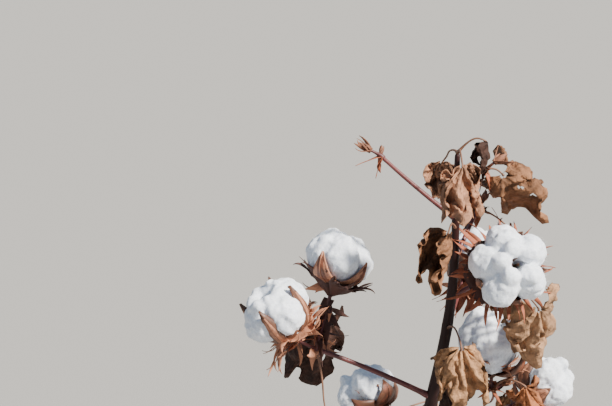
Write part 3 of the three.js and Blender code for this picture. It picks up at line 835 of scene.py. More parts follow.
def add_fibres(heap, starts, ways, lengths, random):
    """Short bent fibres, each a three-sided spike with one joint."""
    count = len(starts)
    bend = random.normal(0, FIBRE.bend, (count, 3))
    middle = starts + ways * lengths[:, None] * FIBRE.parts[0]
    tip = middle + unit(ways + bend) * lengths[:, None] * FIBRE.parts[1]
    across = unit(np.cross(ways, random.normal(0, 1, (count, 3))))
    around = ways_round(across, np.cross(ways, across), 3) * FIBRE.thick
    rings = (starts[:, None] + around, middle[:, None] + around * FIBRE.taper, tip[:, None])
    quads = np.array([(i, (i + 1) % 3, 3 + (i + 1) % 3, 3 + i) for i in range(3)])
    tris = np.array([(3 + i, 3 + (i + 1) % 3, 6) for i in range(3)] + [(0, 2, 1)])
    shift = (np.arange(count) * 7)[:, None, None]
    heap.add(np.concatenate(rings, 1), (quads + shift).reshape(-1, 4), (tris + shift).reshape(-1, 3))


def make_lint(material, fuzz_material, fibres, voxel):
    """The lint of the lower and of the upper bolls, and the loose fibres on all of it."""
    shape = ball_shape()
    numbered = list(enumerate(PLANT.bolls))
    middle = len(numbered) // 2
    fuzz = Heap()
    random = np.random.default_rng(DETAIL.fibres)
    pieces = []
    for name, bolls in (("lint_low", numbered[:middle]), ("lint_high", numbered[middle:])):
        piece, points, normals = grow_lint(bolls, shape, voxel, name, material)
        pieces.append(piece)
        count = fibres * len(bolls)
        chosen = random.integers(0, len(points), count)
        ways = unit(normals[chosen] * FIBRE.outward + random.normal(0, FIBRE.stray, (count, 3)))
        lengths = random.uniform(*FIBRE.length, count)
        lengths *= np.where(random.random(count) < FIBRE.long_ones, 2, 1)
        add_fibres(fuzz, points[chosen] - normals[chosen] * FIBRE.sunk, ways, lengths, random)
    return [*pieces, fuzz.make("lint_fibres", fuzz_material)]


# The split case: woody valves between the locks, each with a thin wall that stands up inside it.
# The knots are a valve's middle line, outwards and up. Its lift and its grip raise the far ones.
VALVE = Row(
    rows=17, columns=9, knots=((2.5, -2.5), (17, -6), (33, -3), (35, 13)), lift=(-2, 3), grip=(-5, 18),
    broad=13, more_broad=5, foot=1.6, edge=0.15, cup=(2, 6), wave=((1, 1.5, 7), (0.4, 0.5, 9)), wall=1.0
)
LINING = Row(away=0.75, share=0.78, wall=0.5)
SPINE = Row(heights=((1, 3.8), (-1, 1.6)), away=0.4, lean=0.05, wall=0.5)
SEPTUM = Row(rows=7, top=(0.55, 0.72), inner=(1.2, 2.2), outer=(12, 8.5), foot=1, bow=1.1, wall=0.5)
CASE_TONES = (("brown", "tan"), ("brown", "rust"), ("tan", "rust"))
CASE_KNOB = Row(heights=(-6, -4, -1.5, 1, 3.5), radii=(2.2, 4.6, 5.8, 5.2, 1.5), sides=12)


def upright(boll, angle, out, side, up):
    """Places on a boll, given outwards at an angle, sideways and up."""
    cosine, sine = math.cos(angle), math.sin(angle)
    return on_boll(boll, np.stack((out * cosine - side * sine, out * sine + side * cosine, up), -1))


def add_valve(shell, lining, boll, angle, random):
    """A woody valve with the lining on its faces and the ridges down its middle."""
    rows, columns = VALVE.rows, VALVE.columns
    u = np.linspace(0, 1, rows)
    v = np.linspace(-1, 1, columns)
    grip = given(boll.wish.grip, random.uniform(0, 1))
    knots = np.array(VALVE.knots)
    knots[2:, 1] += random.uniform(*VALVE.lift)
    knots[3] += np.array(VALVE.grip) * grip
    ease = ((1 - u) ** 3, 3 * u * (1 - u) ** 2, 3 * u * u * (1 - u), u**3)
    path = sum(part[:, None] * knot for part, knot in zip(ease, knots))
    slope = unit(np.gradient(path, axis=0))
    normal = np.stack((-slope[:, 1], slope[:, 0]), -1)
    broad = VALVE.broad + VALVE.more_broad * max(grip - 1, 0)
    breadth = broad * np.sin(math.pi * u**0.82) ** 0.8 * (1 - 0.25 * u) + VALVE.foot * (1 - u) + VALVE.edge
    cup = random.uniform(*VALVE.cup)
    spots = np.stack(np.broadcast_arrays(u[:, None] * 5, v[None] * 2.5, angle), -1)
    wave = sum(lattice(spots, size, seed) * height for size, height, seed in VALVE.wave)
    arch = np.sin(math.pi * u[:, None] * 0.98) ** 0.5
    rise = cup * v[None] ** 2 * arch + wave * u[:, None]

    def sheet(away, across):
        out = path[:, :1] + normal[:, :1] * (rise + away)
        up = path[:, 1:] + normal[:, 1:] * (rise + away)
        return upright(boll, angle, out, breadth[:, None] * across, up)

    add_sheet(shell, sheet(0, v[None]), grid_faces(rows, columns), VALVE.wall)
    for side, height in SPINE.heights:
        panel = sheet(LINING.away * side, v[None] * LINING.share)[1:-1]
        add_sheet(lining, panel, grid_faces(rows - 2, columns), LINING.wall)
        away = SPINE.away * side
        ridge = height * side * np.sin(math.pi * u**0.8) ** 0.6
        low = sheet(away, v[None] * 0)[:, columns // 2]
        high = sheet(away + ridge[:, None], v[None] * SPINE.lean)[:, columns // 2]
        add_sheet(shell, np.stack((low, (low + high) / 2, high), 1), grid_faces(rows, 3), SPINE.wall)


def add_septum(heap, boll, angle, random):
    """The thin dry wall that stands up the middle of a boll between two locks."""
    top = random.uniform(*SEPTUM.top) * lint_size(boll)[1] * (1 + PUFF.septum * boll.wish.puff)
    u = np.linspace(0, 1, SEPTUM.rows)
    inner = SEPTUM.inner[0] + SEPTUM.inner[1] * u
    outer = SEPTUM.outer[0] - SEPTUM.outer[1] * u**1.5
    rows = []
    for share in (0, 0.5, 1):
        bow = SEPTUM.bow * np.sin(u * 5 + angle * 3) * share
        rows.append(upright(boll, angle, inner + (outer - inner) * share, bow, SEPTUM.foot + top * u))
    add_sheet(heap, np.stack(rows, 1), grid_faces(SEPTUM.rows, 3), SEPTUM.wall)


def make_cases(materials, lining_materials):
    shells = {tone: Heap() for tone in materials}
    linings = {tone: Heap() for tone in lining_materials}
    for b, boll in enumerate(PLANT.bolls):
        random = np.random.default_rng(DETAIL.case + b)
        edge, face = given(boll.wish.case, one_of(random, CASE_TONES))
        for k in range(boll.locks):
            angle = k / boll.locks * 2 * math.pi
            add_valve(shells[edge], linings[face], boll, angle, random)
            add_septum(shells[edge], boll, angle, random)
        line = [on_boll(boll, (0, 0, height)) for height in CASE_KNOB.heights]
        add_tube(shells[edge], line, np.array(CASE_KNOB.radii) * boll.size, CASE_KNOB.sides)
    return make_pieces("cases", shells, materials) + make_pieces("linings", linings, lining_materials)


# Bracts: three dry leaves round each boll, each a crumpled plate whose edge splits into long teeth,
# and loose dry strips on the stalks and twigs
TOOTH = Row(rows=10, wall=0.4, low=(1.15, 0.55), high=(0.9, 1.9), least=0.12, keel=0.25, bend=(0.25, 1.5))
BRACT = Row(
    count=3, rows=8, columns=(11, 14), reach=(17, 23), pitches=(-0.75, -0.2, 0.35, 0.8), pitch_stray=0.25,
    curl=(-0.9, 1.5), half=0.98, foot=2.5, bow=0.3, crumple=3.4, crumple_size=9, turn_stray=0.3, wall=0.5
)
FRINGE = Row(length=22, less=8, vary=(-5, 6), curl=(-1.7, 2.3), sweep=0.8, twist=2, broad=(3.4, 5))
BRACT_TONES = (("rust", "tan"), ("tan", "tan"), ("dark", "rust"), ("dark", "tan"), ("rust", "rust"))
RAG = Row(rise=(-75, 5), length=(14, 30), curl=2.2, twist=2.5, broad=(4, 9), clear=6, from_boll=3, size=1.25)
NODE_RAGS = Row(count=(3, 7), tones=("tan", "rust", "dark"))


def add_tooth(heap, start, way, normal, length, broad, curl, sweep, twist):
    """A strip that runs from the start, curls towards its normal, and narrows to a point."""
    points = []
    spot = np.array(start, float)
    side = unit(np.cross(way, normal))
    last = TOOTH.rows - 1
    for i in range(TOOTH.rows):
        u = i / last
        low = TOOTH.low[0] - u * TOOTH.low[1]
        high = TOOTH.high[0] * (1 - (u - 0.5) * TOOTH.high[1])
        half = max(broad * (low if u < 0.5 else high) * 0.5, TOOTH.least)
        edge = turned(side, normal, twist * u)
        points.extend((spot - edge * half, spot + normal * half * TOOTH.keel, spot + edge * half))
        bend = curl * (TOOTH.bend[0] + TOOTH.bend[1] * u * u) / last
        way, normal = unit(turned(way, normal, bend)), unit(turned(normal, -way, bend))
        way = unit(way + side * sweep / last)
        side = unit(np.cross(way, normal))
        spot = spot + way * (length / last)
    add_sheet(heap, points, grid_faces(TOOTH.rows, 3), TOOTH.wall)


def add_bract(plate, fringe, boll, middle, random):
    """One bract: a plate that leaves the stalk under the case, and the teeth that its edge splits into."""
    wish = boll.wish
    first, second, axis = boll_frame(boll)
    columns = int(random.integers(*BRACT.columns))
    reach = random.uniform(*BRACT.reach) * wish.spread
    pitch = given(wish.pitch, random.choice(BRACT.pitches)) + either_way(random, BRACT.pitch_stray)
    curl = given(wish.curl, random.uniform(*BRACT.curl))
    seed = int(random.integers(10000))
    points = np.zeros((BRACT.rows, columns, 3))
    ways = []
    for i in range(columns):
        share = i / (columns - 1) * 2 - 1
        angle = middle + share * BRACT.half
        radial = turned(first, second, angle)
        spot = boll.base - axis * wish.drop * boll.size + radial * BRACT.foot
        bow = pitch + BRACT.bow * share * share
        for row in range(BRACT.rows):
            points[row, i] = spot
            way = unit(turned(radial, axis, bow))
            spot = spot + way * reach * boll.size / (BRACT.rows - 1)
            bow += curl / (BRACT.rows - 1)
        ways.append((way, unit(np.cross(turned(second, -first, angle), way))))
    crumple = np.linspace(0, BRACT.crumple, BRACT.rows)[:, None, None]
    points += drift(points, BRACT.crumple_size, seed) * crumple
    add_sheet(plate, points, grid_faces(BRACT.rows, columns), BRACT.wall)
    for i, (way, normal) in enumerate(ways):
        share = abs(i / (columns - 1) * 2 - 1)
        length = (FRINGE.length - FRINGE.less * share + random.uniform(*FRINGE.vary)) * boll.size * wish.teeth
        curls = curl * 0.5 + random.uniform(*FRINGE.curl)
        sweep = either_way(random, FRINGE.sweep)
        twist = either_way(random, FRINGE.twist)
        broad = random.uniform(*FRINGE.broad)
        add_tooth(fringe, points[-2, i], way, normal, length, broad, curls, sweep, twist)


def add_rag(heap, start, size, random):
    """A loose dry strip that hangs on a twig."""
    heading = random.uniform(0, 360)
    way = toward(heading, random.uniform(*RAG.rise))
    normal = unit(np.cross(toward(heading + 90, 0), way))
    length = random.uniform(*RAG.length) * size
    curls = either_way(random, RAG.curl)
    twist = either_way(random, RAG.twist)
    add_tooth(heap, start, way, normal, length, random.uniform(*RAG.broad) * size, curls, 0, twist)


def make_bracts(materials):
    heaps = {tone: Heap() for tone in materials}
    for b, boll in enumerate(PLANT.bolls):
        wish = boll.wish
        random = np.random.default_rng(DETAIL.bract + b)
        for k in range(BRACT.count):
            plate, fringe = given(wish.bracts, one_of(random, BRACT_TONES))
            turn = k / BRACT.count * 2 * math.pi + either_way(random, BRACT.turn_stray)
            middle = turn + math.radians(wish.aim)
            add_bract(heaps[plate], heaps[fringe], boll, middle, random)
        tones = (*(wish.bracts or ("tan", "rust")), "tan", "rust")
        for i in range(wish.rags):
            back = random.uniform(RAG.from_boll, max(BOLL.stalk * wish.stalk - RAG.clear, RAG.clear))
            add_rag(heaps[tones[i % len(tones)]], boll.base - boll.axis * back, RAG.size, random)
    for shoot in PLANT.shoots:
        random = np.random.default_rng(DETAIL.rag + shoot.index)
        for node in shoot.nodes:
            for _ in range(int(random.integers(*NODE_RAGS.count))):
                add_rag(heaps[one_of(random, NODE_RAGS.tones)], node, 1, random)
    return make_pieces("bracts", heaps, materials)


# Twigs, boll stalks, leaf stalks and buds
CROOK_SIZE = 16
TWIG = Row(steps=8, crook=1.2, foot=1.12, node=(4, 0.4), end=0.8, sides=8)
BUD_SCALES = Row(
    count=7, stray=0.3, opening=(0.25, 0.8), vary=(0.75, 1.25), twist=0.8, curl=(0.2, 1.9), broad=0.34
)
END_BUD = Row(size=15, sunk=2)
SIDE_BUD = Row(size=9, away=2, turn=90, rise=25)
BOLL_STALK = Row(shares=(1.3, 1.05, 0.95, 0.92, 0.92, 0.95, 1.05, 1.25, 1.6), crook=0.8, overlap=4)
BARE_STALK = Row(
    shoots=12, turns=(70, -60), stray=25, rise=(-25, 10), length=(30, 52), droop=(0.7, 1.1),
    radii=(1.2, 0.7), points=14, crook=2
)
BLADE_STALK = Row(
    points=14, at=(0, 1.5, 4, 10, 12, 13), shares=(1.9, 1.2, 0.85, 0.8, 1.2, 1.0), crook=1.6, onward=3
)


def add_bud(heap, start, way, size, seed):
    """A small dry bud: a few narrow scales that close over each other."""
    random = np.random.default_rng(seed)
    across = unit(np.cross(way, (0.3, 0.5, 0.81)))
    beside = np.cross(way, across)
    for i in range(BUD_SCALES.count):
        angle = i / BUD_SCALES.count * 2 * math.pi + either_way(random, BUD_SCALES.stray)
        radial = turned(across, beside, angle)
        opening = random.uniform(*BUD_SCALES.opening)
        out = unit(turned(way, radial, opening))
        normal = unit(turned(-radial, way, opening))
        length = size * random.uniform(*BUD_SCALES.vary)
        twist = either_way(random, BUD_SCALES.twist)
        curl = random.uniform(*BUD_SCALES.curl)
        add_tooth(heap, start, out, normal, length, size * BUD_SCALES.broad, curl, 0, twist)


def add_twig(bark, buds, shoot):
    """A shoot's zigzag twig, thicker at its nodes, with its end bud and side buds."""
    onward = toward(shoot.heading, BUD.rise)
    start = shoot.nodes[0] - shoot_way(shoot.row) * SHOOT.inset
    line = [start, *shoot.nodes, shoot.nodes[-1] + onward * BUD.length * TWIG.end]
    points = []
    for low, high in zip(line, line[1:]):
        points.extend(low + (high - low) * (i / TWIG.steps) for i in range(TWIG.steps))
    points = crook([*points, line[-1]], TWIG.crook, DETAIL.twig + shoot.index)
    radii = np.linspace(SHOOT.radius * TWIG.foot, SHOOT.radius * SHOOT.tip_share, len(points))
    for node in shoot.nodes:
        near = np.sqrt(((points - node) ** 2).sum(1))
        radii = radii * (1 + TWIG.node[1] * np.exp(-((near / TWIG.node[0]) ** 2)))
    add_tube(bark, points, radii, TWIG.sides)
    add_bud(buds, points[-1] - onward * END_BUD.sunk, onward, END_BUD.size, DETAIL.end_bud + shoot.index)
    for i, node in enumerate(shoot.nodes):
        side = toward(shoot.heading + (SIDE_BUD.turn if i % 2 else -SIDE_BUD.turn), SIDE_BUD.rise)
        seed = DETAIL.side_bud + shoot.index * 7 + i
        add_bud(buds, node + side * SIDE_BUD.away, side, SIDE_BUD.size, seed)


def add_bare_stalk(stalks, shoot):
    """A leaf stalk that has lost its blade."""
    random = np.random.default_rng(DETAIL.bare_stalk + shoot.index)
    stray = either_way(random, BARE_STALK.stray)
    heading = shoot.row.heading + BARE_STALK.turns[shoot.index % 2] + stray
    spans = (BARE_STALK.rise, BARE_STALK.length, BARE_STALK.droop)
    drawn = (heading, *(random.uniform(*span) for span in spans))
    line = finer(stalk_line(shoot.nodes[0], *(shoot.row.bare or drawn)), BARE_STALK.points)
    radii = np.linspace(*BARE_STALK.radii, BARE_STALK.points)
    add_tube(stalks, crook(line, BARE_STALK.crook, DETAIL.bare_crook + shoot.index), radii)


def make_twigs(bark_material, stalk_material, bud_material):
    bark, stalks, buds = Heap(), Heap(), Heap()
    for shoot in PLANT.shoots:
        add_twig(bark, buds, shoot)
    for b, boll in enumerate(PLANT.bolls):
        radii = BOLL.stalk_radius * np.array(BOLL_STALK.shares)
        end = boll.base - boll.axis * BOLL_STALK.overlap * boll.size
        line = np.linspace(boll.start, end, len(radii))
        add_tube(bark, crook(line, BOLL_STALK.crook, DETAIL.boll_stalk + b), radii, TWIG.sides)
    for shoot in PLANT.shoots[: BARE_STALK.shoots]:
        add_bare_stalk(stalks, shoot)
    for index, leaf in enumerate(PLANT.leaves):
        line = finer([*leaf.stalk, leaf.root + leaf.down * BLADE_STALK.onward], BLADE_STALK.points)
        shares = np.interp(np.arange(BLADE_STALK.points), BLADE_STALK.at, BLADE_STALK.shares)
        radii = LEAF.stalk_radius * shares
        add_tube(stalks, crook(line, BLADE_STALK.crook, DETAIL.leaf_stalk + index), radii)
    return (
        bark.make("twigs", bark_material),
        stalks.make("leaf_stalks", stalk_material),
        buds.make("dry_buds", bud_material),
    )


# Dry leaves. A flat lobed blade is folded as the source folds it, then let go until its own lengths
# fit again, so that it crumples along its veins.
BLADE = Row(rows=24, columns=73, sweep=150, foot=0.07, wall=0.45)
SHARE = np.linspace(BLADE.foot, 1, BLADE.rows)[:, None]
THETA = np.linspace(-BLADE.sweep, BLADE.sweep, BLADE.columns)
FOLD_ANGLES = (-128, -94, -52, -26, 0, 26, 52, 94, 128)
OUTLINE = Row(
    angles=(0, 7, 15, 22, 28, 34, 42, 52, 60, 70, 82, 92, 104, 118, 128, 140, 150),
    reach=(1.0, 0.93, 0.8, 0.67, 0.6, 0.64, 0.78, 0.92, 0.83, 0.68, 0.55, 0.52, 0.54, 0.53, 0.49, 0.36, 0.24)
)
RIM = Row(ragged=(9, 0.1), curl=(24, 0.4), curl_from=0.45, curl_gain=3.3)
CRUMPLES = ((24, 4.8), (12, 4.2), (6, 2.1))
SOLVE = Row(slant=0.6, bend=0.12, cross_bend=0.05, shrink=0.1, shrink_size=14, pull=0.004)
VEIN = Row(width=1.1, height=0.8, fade=0.6)
RIB = Row(slant=1.1, step=8.5, height=0.55, out=3)
CREASE = Row(size=3.2, height=0.45)
HOLES = Row(size=13, fine_size=4, fine_share=0.35, above=0.78, foot=0.3)

# How a leaf of a named form folds: its lobes' closing, its roll, its rim's curl, how full its outline is,
# how much it crumples, and how far it is gathered up as a share. The others draw theirs, and close a
# little more than in the source.
FORMS = {
    "flat": Row(close=0.76, roll=0.42, curl=0.1, full=0.55, crumple=1.2, gather=0.9),
    "wide": Row(close=0.78, roll=0.27, curl=0.45, full=0.6, crumple=2.1, gather=0.8),
    "pleated": Row(close=0.55, roll=0.3, curl=0.05, full=0.9, crumple=0.8, gather=0.97),
    "hood": Row(close=0.62, roll=0.19, curl=0.4, full=0.8, crumple=1.2, gather=0.95),
}
MORE_CLOSED = 0.88
FORM_DRAWS = dict(curl=(-0.1, 0.34), full=(0.65, 1.05), crumple=(0.9, 1.5), gather=(0.84, 0.96))


def per_leaf(values):
    """One value or vector for each leaf, set out to go with all of its blade."""
    return np.array(values)[:, None, None]


def rim_noise(width, seed):
    """Smooth noise round the rims of all the blades, [leaf, 1, column]."""
    level = THETA * 0
    rims = [np.stack((THETA / width, level, level + i), -1) for i in range(len(PLANT.leaves))]
    return np.stack([lattice(rim, 1, seed + i) for i, rim in enumerate(rims)])[:, None]


def blade_noise(flat, size, seed):
    """Smooth noise over all the flat blades, [leaf, row, column]."""
    return np.stack([lattice(blade, size, seed + i) for i, blade in enumerate(flat)])


def leaf_forms():
    """How all the leaves fold, one value for each leaf under each name."""
    random = np.random.default_rng(DETAIL.form)

    def drawn(leaf):
        draws = {name: random.uniform(*span) for name, span in FORM_DRAWS.items()}
        return Row(close=leaf.close * MORE_CLOSED, roll=leaf.roll, **draws)

    forms = [FORMS.get(leaf.wish.form) or drawn(leaf) for leaf in PLANT.leaves]
    return Row(**{name: per_leaf([getattr(form, name) for form in forms]) for name in vars(forms[0])})


def fold_blades():
    """The blades laid out flat, and folded but not yet with their own lengths."""
    leaves = PLANT.leaves
    form = leaf_forms()
    sweep = np.radians(THETA)
    size = per_leaf([leaf.size * leaf.wish.grow for leaf in leaves]) * (1.5 - 0.5 * form.gather)
    outline = np.interp(np.abs(THETA), OUTLINE.angles, OUTLINE.reach) ** form.full
    reach = size * (outline * (1 + RIM.ragged[1] * rim_noise(RIM.ragged[0], DETAIL.rim))) * SHARE
    flat = np.stack((reach * np.cos(sweep), reach * np.sin(sweep), np.zeros_like(reach)), -1)
    angle = sweep * form.close
    roll = form.roll * size
    turn = reach * np.sin(angle) / roll
    ridge = np.interp(THETA, FOLD_ANGLES, [1 if i % 2 else -1 for i in range(len(FOLD_ANGLES))])
    pleat = per_leaf([leaf.pleat for leaf in leaves]) * size
    curl = form.curl + RIM.curl[1] * rim_noise(RIM.curl[0], DETAIL.rim_curl)
    edge = np.maximum(SHARE - RIM.curl_from, 0)
    lift = roll * (1 - np.cos(turn)) + pleat * ridge * SHARE + curl * size * edge * edge * RIM.curl_gain
    root = per_leaf([leaf.root for leaf in leaves])
    down = per_leaf([leaf.down for leaf in leaves])
    out = per_leaf([leaf_out(leaf) for leaf in leaves])
    side = np.cross(down, out)
    blades = root + down * (reach * np.cos(angle))[..., None] + side * (roll * np.sin(turn))[..., None]
    blades = blades - out * lift[..., None]
    blades = root + (blades - root) * form.gather[..., None]
    for wave, amount in CRUMPLES:
        for axis in range(3):
            bump = blade_noise(flat, wave, 31 * axis + wave)
            blades[..., axis] += bump * amount * form.crumple * np.minimum(SHARE * 2.5, 1)
    return flat, blades


def length_links(flat):
    """Pairs of points with the length and the firmness between them, in sets that move at once."""
    dryness = blade_noise(flat, SOLVE.shrink_size, DETAIL.dry)
    every = slice(None)
    rows, columns = BLADE.rows, BLADE.columns
    links = []

    def link(first, second, firmness, shrink=0.0):
        apart = flat[second] - flat[first]
        lengths = np.sqrt((apart * apart).sum(-1)) * (1 - shrink * (0.5 + 0.5 * dryness[first]))
        links.append((first, second, lengths, firmness))

    for start in (0, 1):
        low, high = slice(start, rows - 1, 2), slice(start + 1, rows, 2)
        link((every, low), (every, high), 1.0)
        next_columns = slice(start + 1, columns, 2)
        link((every, every, slice(start, columns - 1, 2)), (every, every, next_columns), 1.0, SOLVE.shrink)
        left, right = slice(0, columns - 1), slice(1, columns)
        link((every, low, left), (every, high, right), SOLVE.slant)
        link((every, low, right), (every, high, left), SOLVE.slant)
    for start in range(4):
        link((every, slice(start, rows - 2, 4)), (every, slice(start + 2, rows, 4)), SOLVE.bend)
        left, right = slice(start, columns - 2, 4), slice(start + 2, columns, 4)
        link((every, every, left), (every, every, right), SOLVE.cross_bend)
    return links


def settle(blades, links, rounds):
    """Crumples the blades in place, until the lengths between their points are their own."""
    aim = blades.copy()
    for _ in range(rounds):
        for first, second, lengths, firmness in links:
            apart = blades[second] - blades[first]
            now = np.sqrt((apart * apart).sum(-1)) + 1e-9
            move = apart * ((now - lengths) / now * 0.5 * firmness)[..., None]
            blades[first] += move
            blades[second] -= move
        blades += (aim - blades) * SOLVE.pull
        blades[:, 0] = aim[:, 0]


def make_leaves(materials, rounds, relief):
    """The crumpled blades with veins, side ribs, creases and small holes, joined by tone."""
    flat, blades = fold_blades()
    settle(blades, length_links(flat), rounds)
    faces = grid_faces(BLADE.rows, BLADE.columns)
    from_vein = np.min(np.abs(THETA - np.array(FOLD_ANGLES[::2])[:, None]), 0)
    reach = np.sqrt(flat[..., 0] ** 2 + flat[..., 1] ** 2)
    across = reach * np.radians(from_vein)
    height = np.exp(-((across / VEIN.width) ** 2)) * VEIN.height * (1 - VEIN.fade * SHARE)
    along = (reach - RIB.slant * across) / RIB.step
    height += np.cos(along * 2 * math.pi) * RIB.height * np.minimum(across / RIB.out, 1)
    height += blade_noise(flat, CREASE.size, DETAIL.crease) * CREASE.height
    worn = blade_noise(flat, HOLES.size, DETAIL.worn)
    worn += HOLES.fine_share * blade_noise(flat, HOLES.fine_size, DETAIL.fine_worn)
    near_foot = np.repeat(SHARE[:-1], BLADE.columns - 1) < HOLES.foot
    heaps = {tone: Heap() for tone in materials}
    tones = list(materials)
    random = np.random.default_rng(DETAIL.tone)
    for index, leaf in enumerate(PLANT.leaves):
        points = blades[index].reshape(-1, 3)
        tone = given(leaf.wish.tone, one_of(random, tones))
        points = points + point_normals(points, faces) * (height[index] * relief).reshape(-1, 1)
        whole = (worn[index].ravel()[faces].mean(1) < HOLES.above) | near_foot
        add_sheet(heaps[tone], points, faces[whole], BLADE.wall)
    return make_pieces("leaves", heaps, materials)


# Shader effects that several materials share
def add_node(tree, kind, values=None, **settings):
    """A node with its settings, whose inputs are given a value or joined to an output."""
    node = tree.nodes.new(kind)
    for name, value in settings.items():
        setattr(node, name, value)
    for name, value in (values or {}).items():
        if isinstance(value, bpy.types.NodeSocket):
            tree.links.new(value, node.inputs[name])
        else:
            node.inputs[name].default_value = value
    return node


def start_group(name, inputs, outputs):
    """A new node group with its sockets, what it is given, and what it gives."""
    group = bpy.data.node_groups.new(name, "ShaderNodeTree")
    for direction, rows in (("INPUT", inputs), ("OUTPUT", outputs)):
        for title, kind, *value in rows:
            made = group.interface.new_socket(name=title, in_out=direction, socket_type=f"NodeSocket{kind}")
            if value:
                made.default_value = value[0]
    return group, group.nodes.new("NodeGroupInput").outputs, group.nodes.new("NodeGroupOutput").inputs


def mottle_group():
    """Two colours mixed in soft patches with fine grain, and a height for bumps."""
    group, takes, gives = start_group(
        "Dry Mottle",
        (
            ("Colour", "Color", (0.5, 0.3, 0.2, 1)),
            ("Patch Colour", "Color", (0.3, 0.15, 0.1, 1)),
            ("Patch Scale", "Float", 60),
            ("Patch Amount", "Float", 0.6),
            ("Grain Scale", "Float", 600),
            ("Stretch", "Vector", (1, 1, 1)),
        ),
        (("Colour", "Color"), ("Height", "Float")),
    )
    spot = add_node(group, "ShaderNodeTexCoord").outputs["Object"]
    values = {0: spot, 1: takes["Stretch"]}
    spot = add_node(group, "ShaderNodeVectorMath", values, operation="MULTIPLY").outputs[0]
    values = {"Vector": spot, "Scale": takes["Patch Scale"], "Detail": 4, "Roughness": 0.6}
    patches = add_node(group, "ShaderNodeTexNoise", values).outputs["Fac"]
    values = {"Value": patches, "From Min": 0.38, "From Max": 0.66}
    spread = add_node(group, "ShaderNodeMapRange", values).outputs["Result"]
    values = {0: spread, 1: takes["Patch Amount"]}
    amount = add_node(group, "ShaderNodeMath", values, operation="MULTIPLY").outputs[0]
    values = {"Factor": amount, "A": takes["Colour"], "B": takes["Patch Colour"]}
    mix = add_node(group, "ShaderNodeMix", values, data_type="RGBA")
    values = {"Vector": spot, "Scale": takes["Grain Scale"], "Detail": 6, "Roughness": 0.65}
    grain = add_node(group, "ShaderNodeTexNoise", values).outputs["Fac"]
    values = {"Value": grain, "From Min": 0.3, "From Max": 0.7, "To Min": 0.78, "To Max": 1.16}
    shade = add_node(group, "ShaderNodeMapRange", values).outputs["Result"]
    values = {0: mix.outputs["Result"], "Scale": shade}
    tint = add_node(group, "ShaderNodeVectorMath", values, operation="SCALE")
    group.links.new(tint.outputs[0], gives["Colour"])
    group.links.new(grain, gives["Height"])
    return group


def crease_group():
    """A height of sharp crossing creases, as in paper that was crumpled."""
    inputs = (("Scale", "Float", 110), ("Warp", "Float", 0.006))
    group, takes, gives = start_group("Creases", inputs, (("Height", "Float"),))
    spot = add_node(group, "ShaderNodeTexCoord").outputs["Object"]
    noise = add_node(group, "ShaderNodeTexNoise", {"Vector": spot, "Scale": 90}).outputs["Color"]
    values = {0: noise, 1: (0.5, 0.5, 0.5)}
    centre = add_node(group, "ShaderNodeVectorMath", values, operation="SUBTRACT").outputs[0]
    values = {0: centre, "Scale": takes["Warp"]}
    warp = add_node(group, "ShaderNodeVectorMath", values, operation="SCALE").outputs[0]
    moved = add_node(group, "ShaderNodeVectorMath", {0: spot, 1: warp}).outputs[0]
    cells = add_node(group, "ShaderNodeTexVoronoi", {"Vector": moved, "Scale": takes["Scale"]}, feature="F1")
    group.links.new(cells.outputs["Distance"], gives["Height"])
    return group


# How the surfaces differ: patches, grain, bumps and creases, and sockets of the shader itself
PLAIN = dict(patch_scale=60, patch_amount=0.6, grain=600, stretch=(1, 1, 1), bump=0.4, depth=0.0004)
PLAIN.update(crease=0, crease_depth=0, sockets={})
DULL = {"Specular IOR Level": 0.25}
SOFT = {
    "Subsurface Weight": 0.2,
    "Subsurface Radius": (0.005, 0.005, 0.006),
    "Subsurface Scale": 1.0,
    "Specular IOR Level": 0.15,
    "Sheen Weight": 0.3,
    "Sheen Roughness": 0.6,
}
STEM_LOOK = dict(patch_scale=30, stretch=(1, 1, 0.12), grain=900, bump=0.7, depth=0.0006, sockets=DULL)
LIMB_LOOK = dict(patch_scale=45, patch_amount=0.4, grain=900, bump=0.6, depth=0.0005)
LINT_LOOK = dict(patch_scale=90, patch_amount=0.5, grain=420, bump=0.5, depth=0.0012, sockets=SOFT)
CASE_LOOK = dict(patch_scale=110, patch_amount=0.8, bump=0.6)
LINING_LOOK = dict(patch_scale=140, patch_amount=0.9, bump=0.6, depth=0.0008)
BRACT_LOOK = dict(patch_scale=100, patch_amount=0.7, bump=0.6, depth=0.0005)
# The leaves' strong dark patches are partly their own dry blotches and partly painted shade, darkening them
# as shaded folds would
LEAF_LOOK = dict(patch_scale=62, patch_amount=0.9, grain=450, bump=0.9, depth=0.001, sockets=DULL)
LEAF_LOOK.update(crease=120, crease_depth=0.004)

# The floor, the sky's light, the sun and the camera, with angles in degrees
FLOOR_SIZE = 60
SKY = (0.6, 0.76, 1.0, 1)
SUN = Row(tilt=43, turn=66, angle=4, colour=(1.0, 0.95, 0.88))
CAMERA = Row(place=(-0.091, -1.471, 1.376), tilt=65, sensor=36)


def toned(colour, share):
    """A colour made darker or lighter by a share."""
    return tuple(min(part * share, 1) for part in colour)


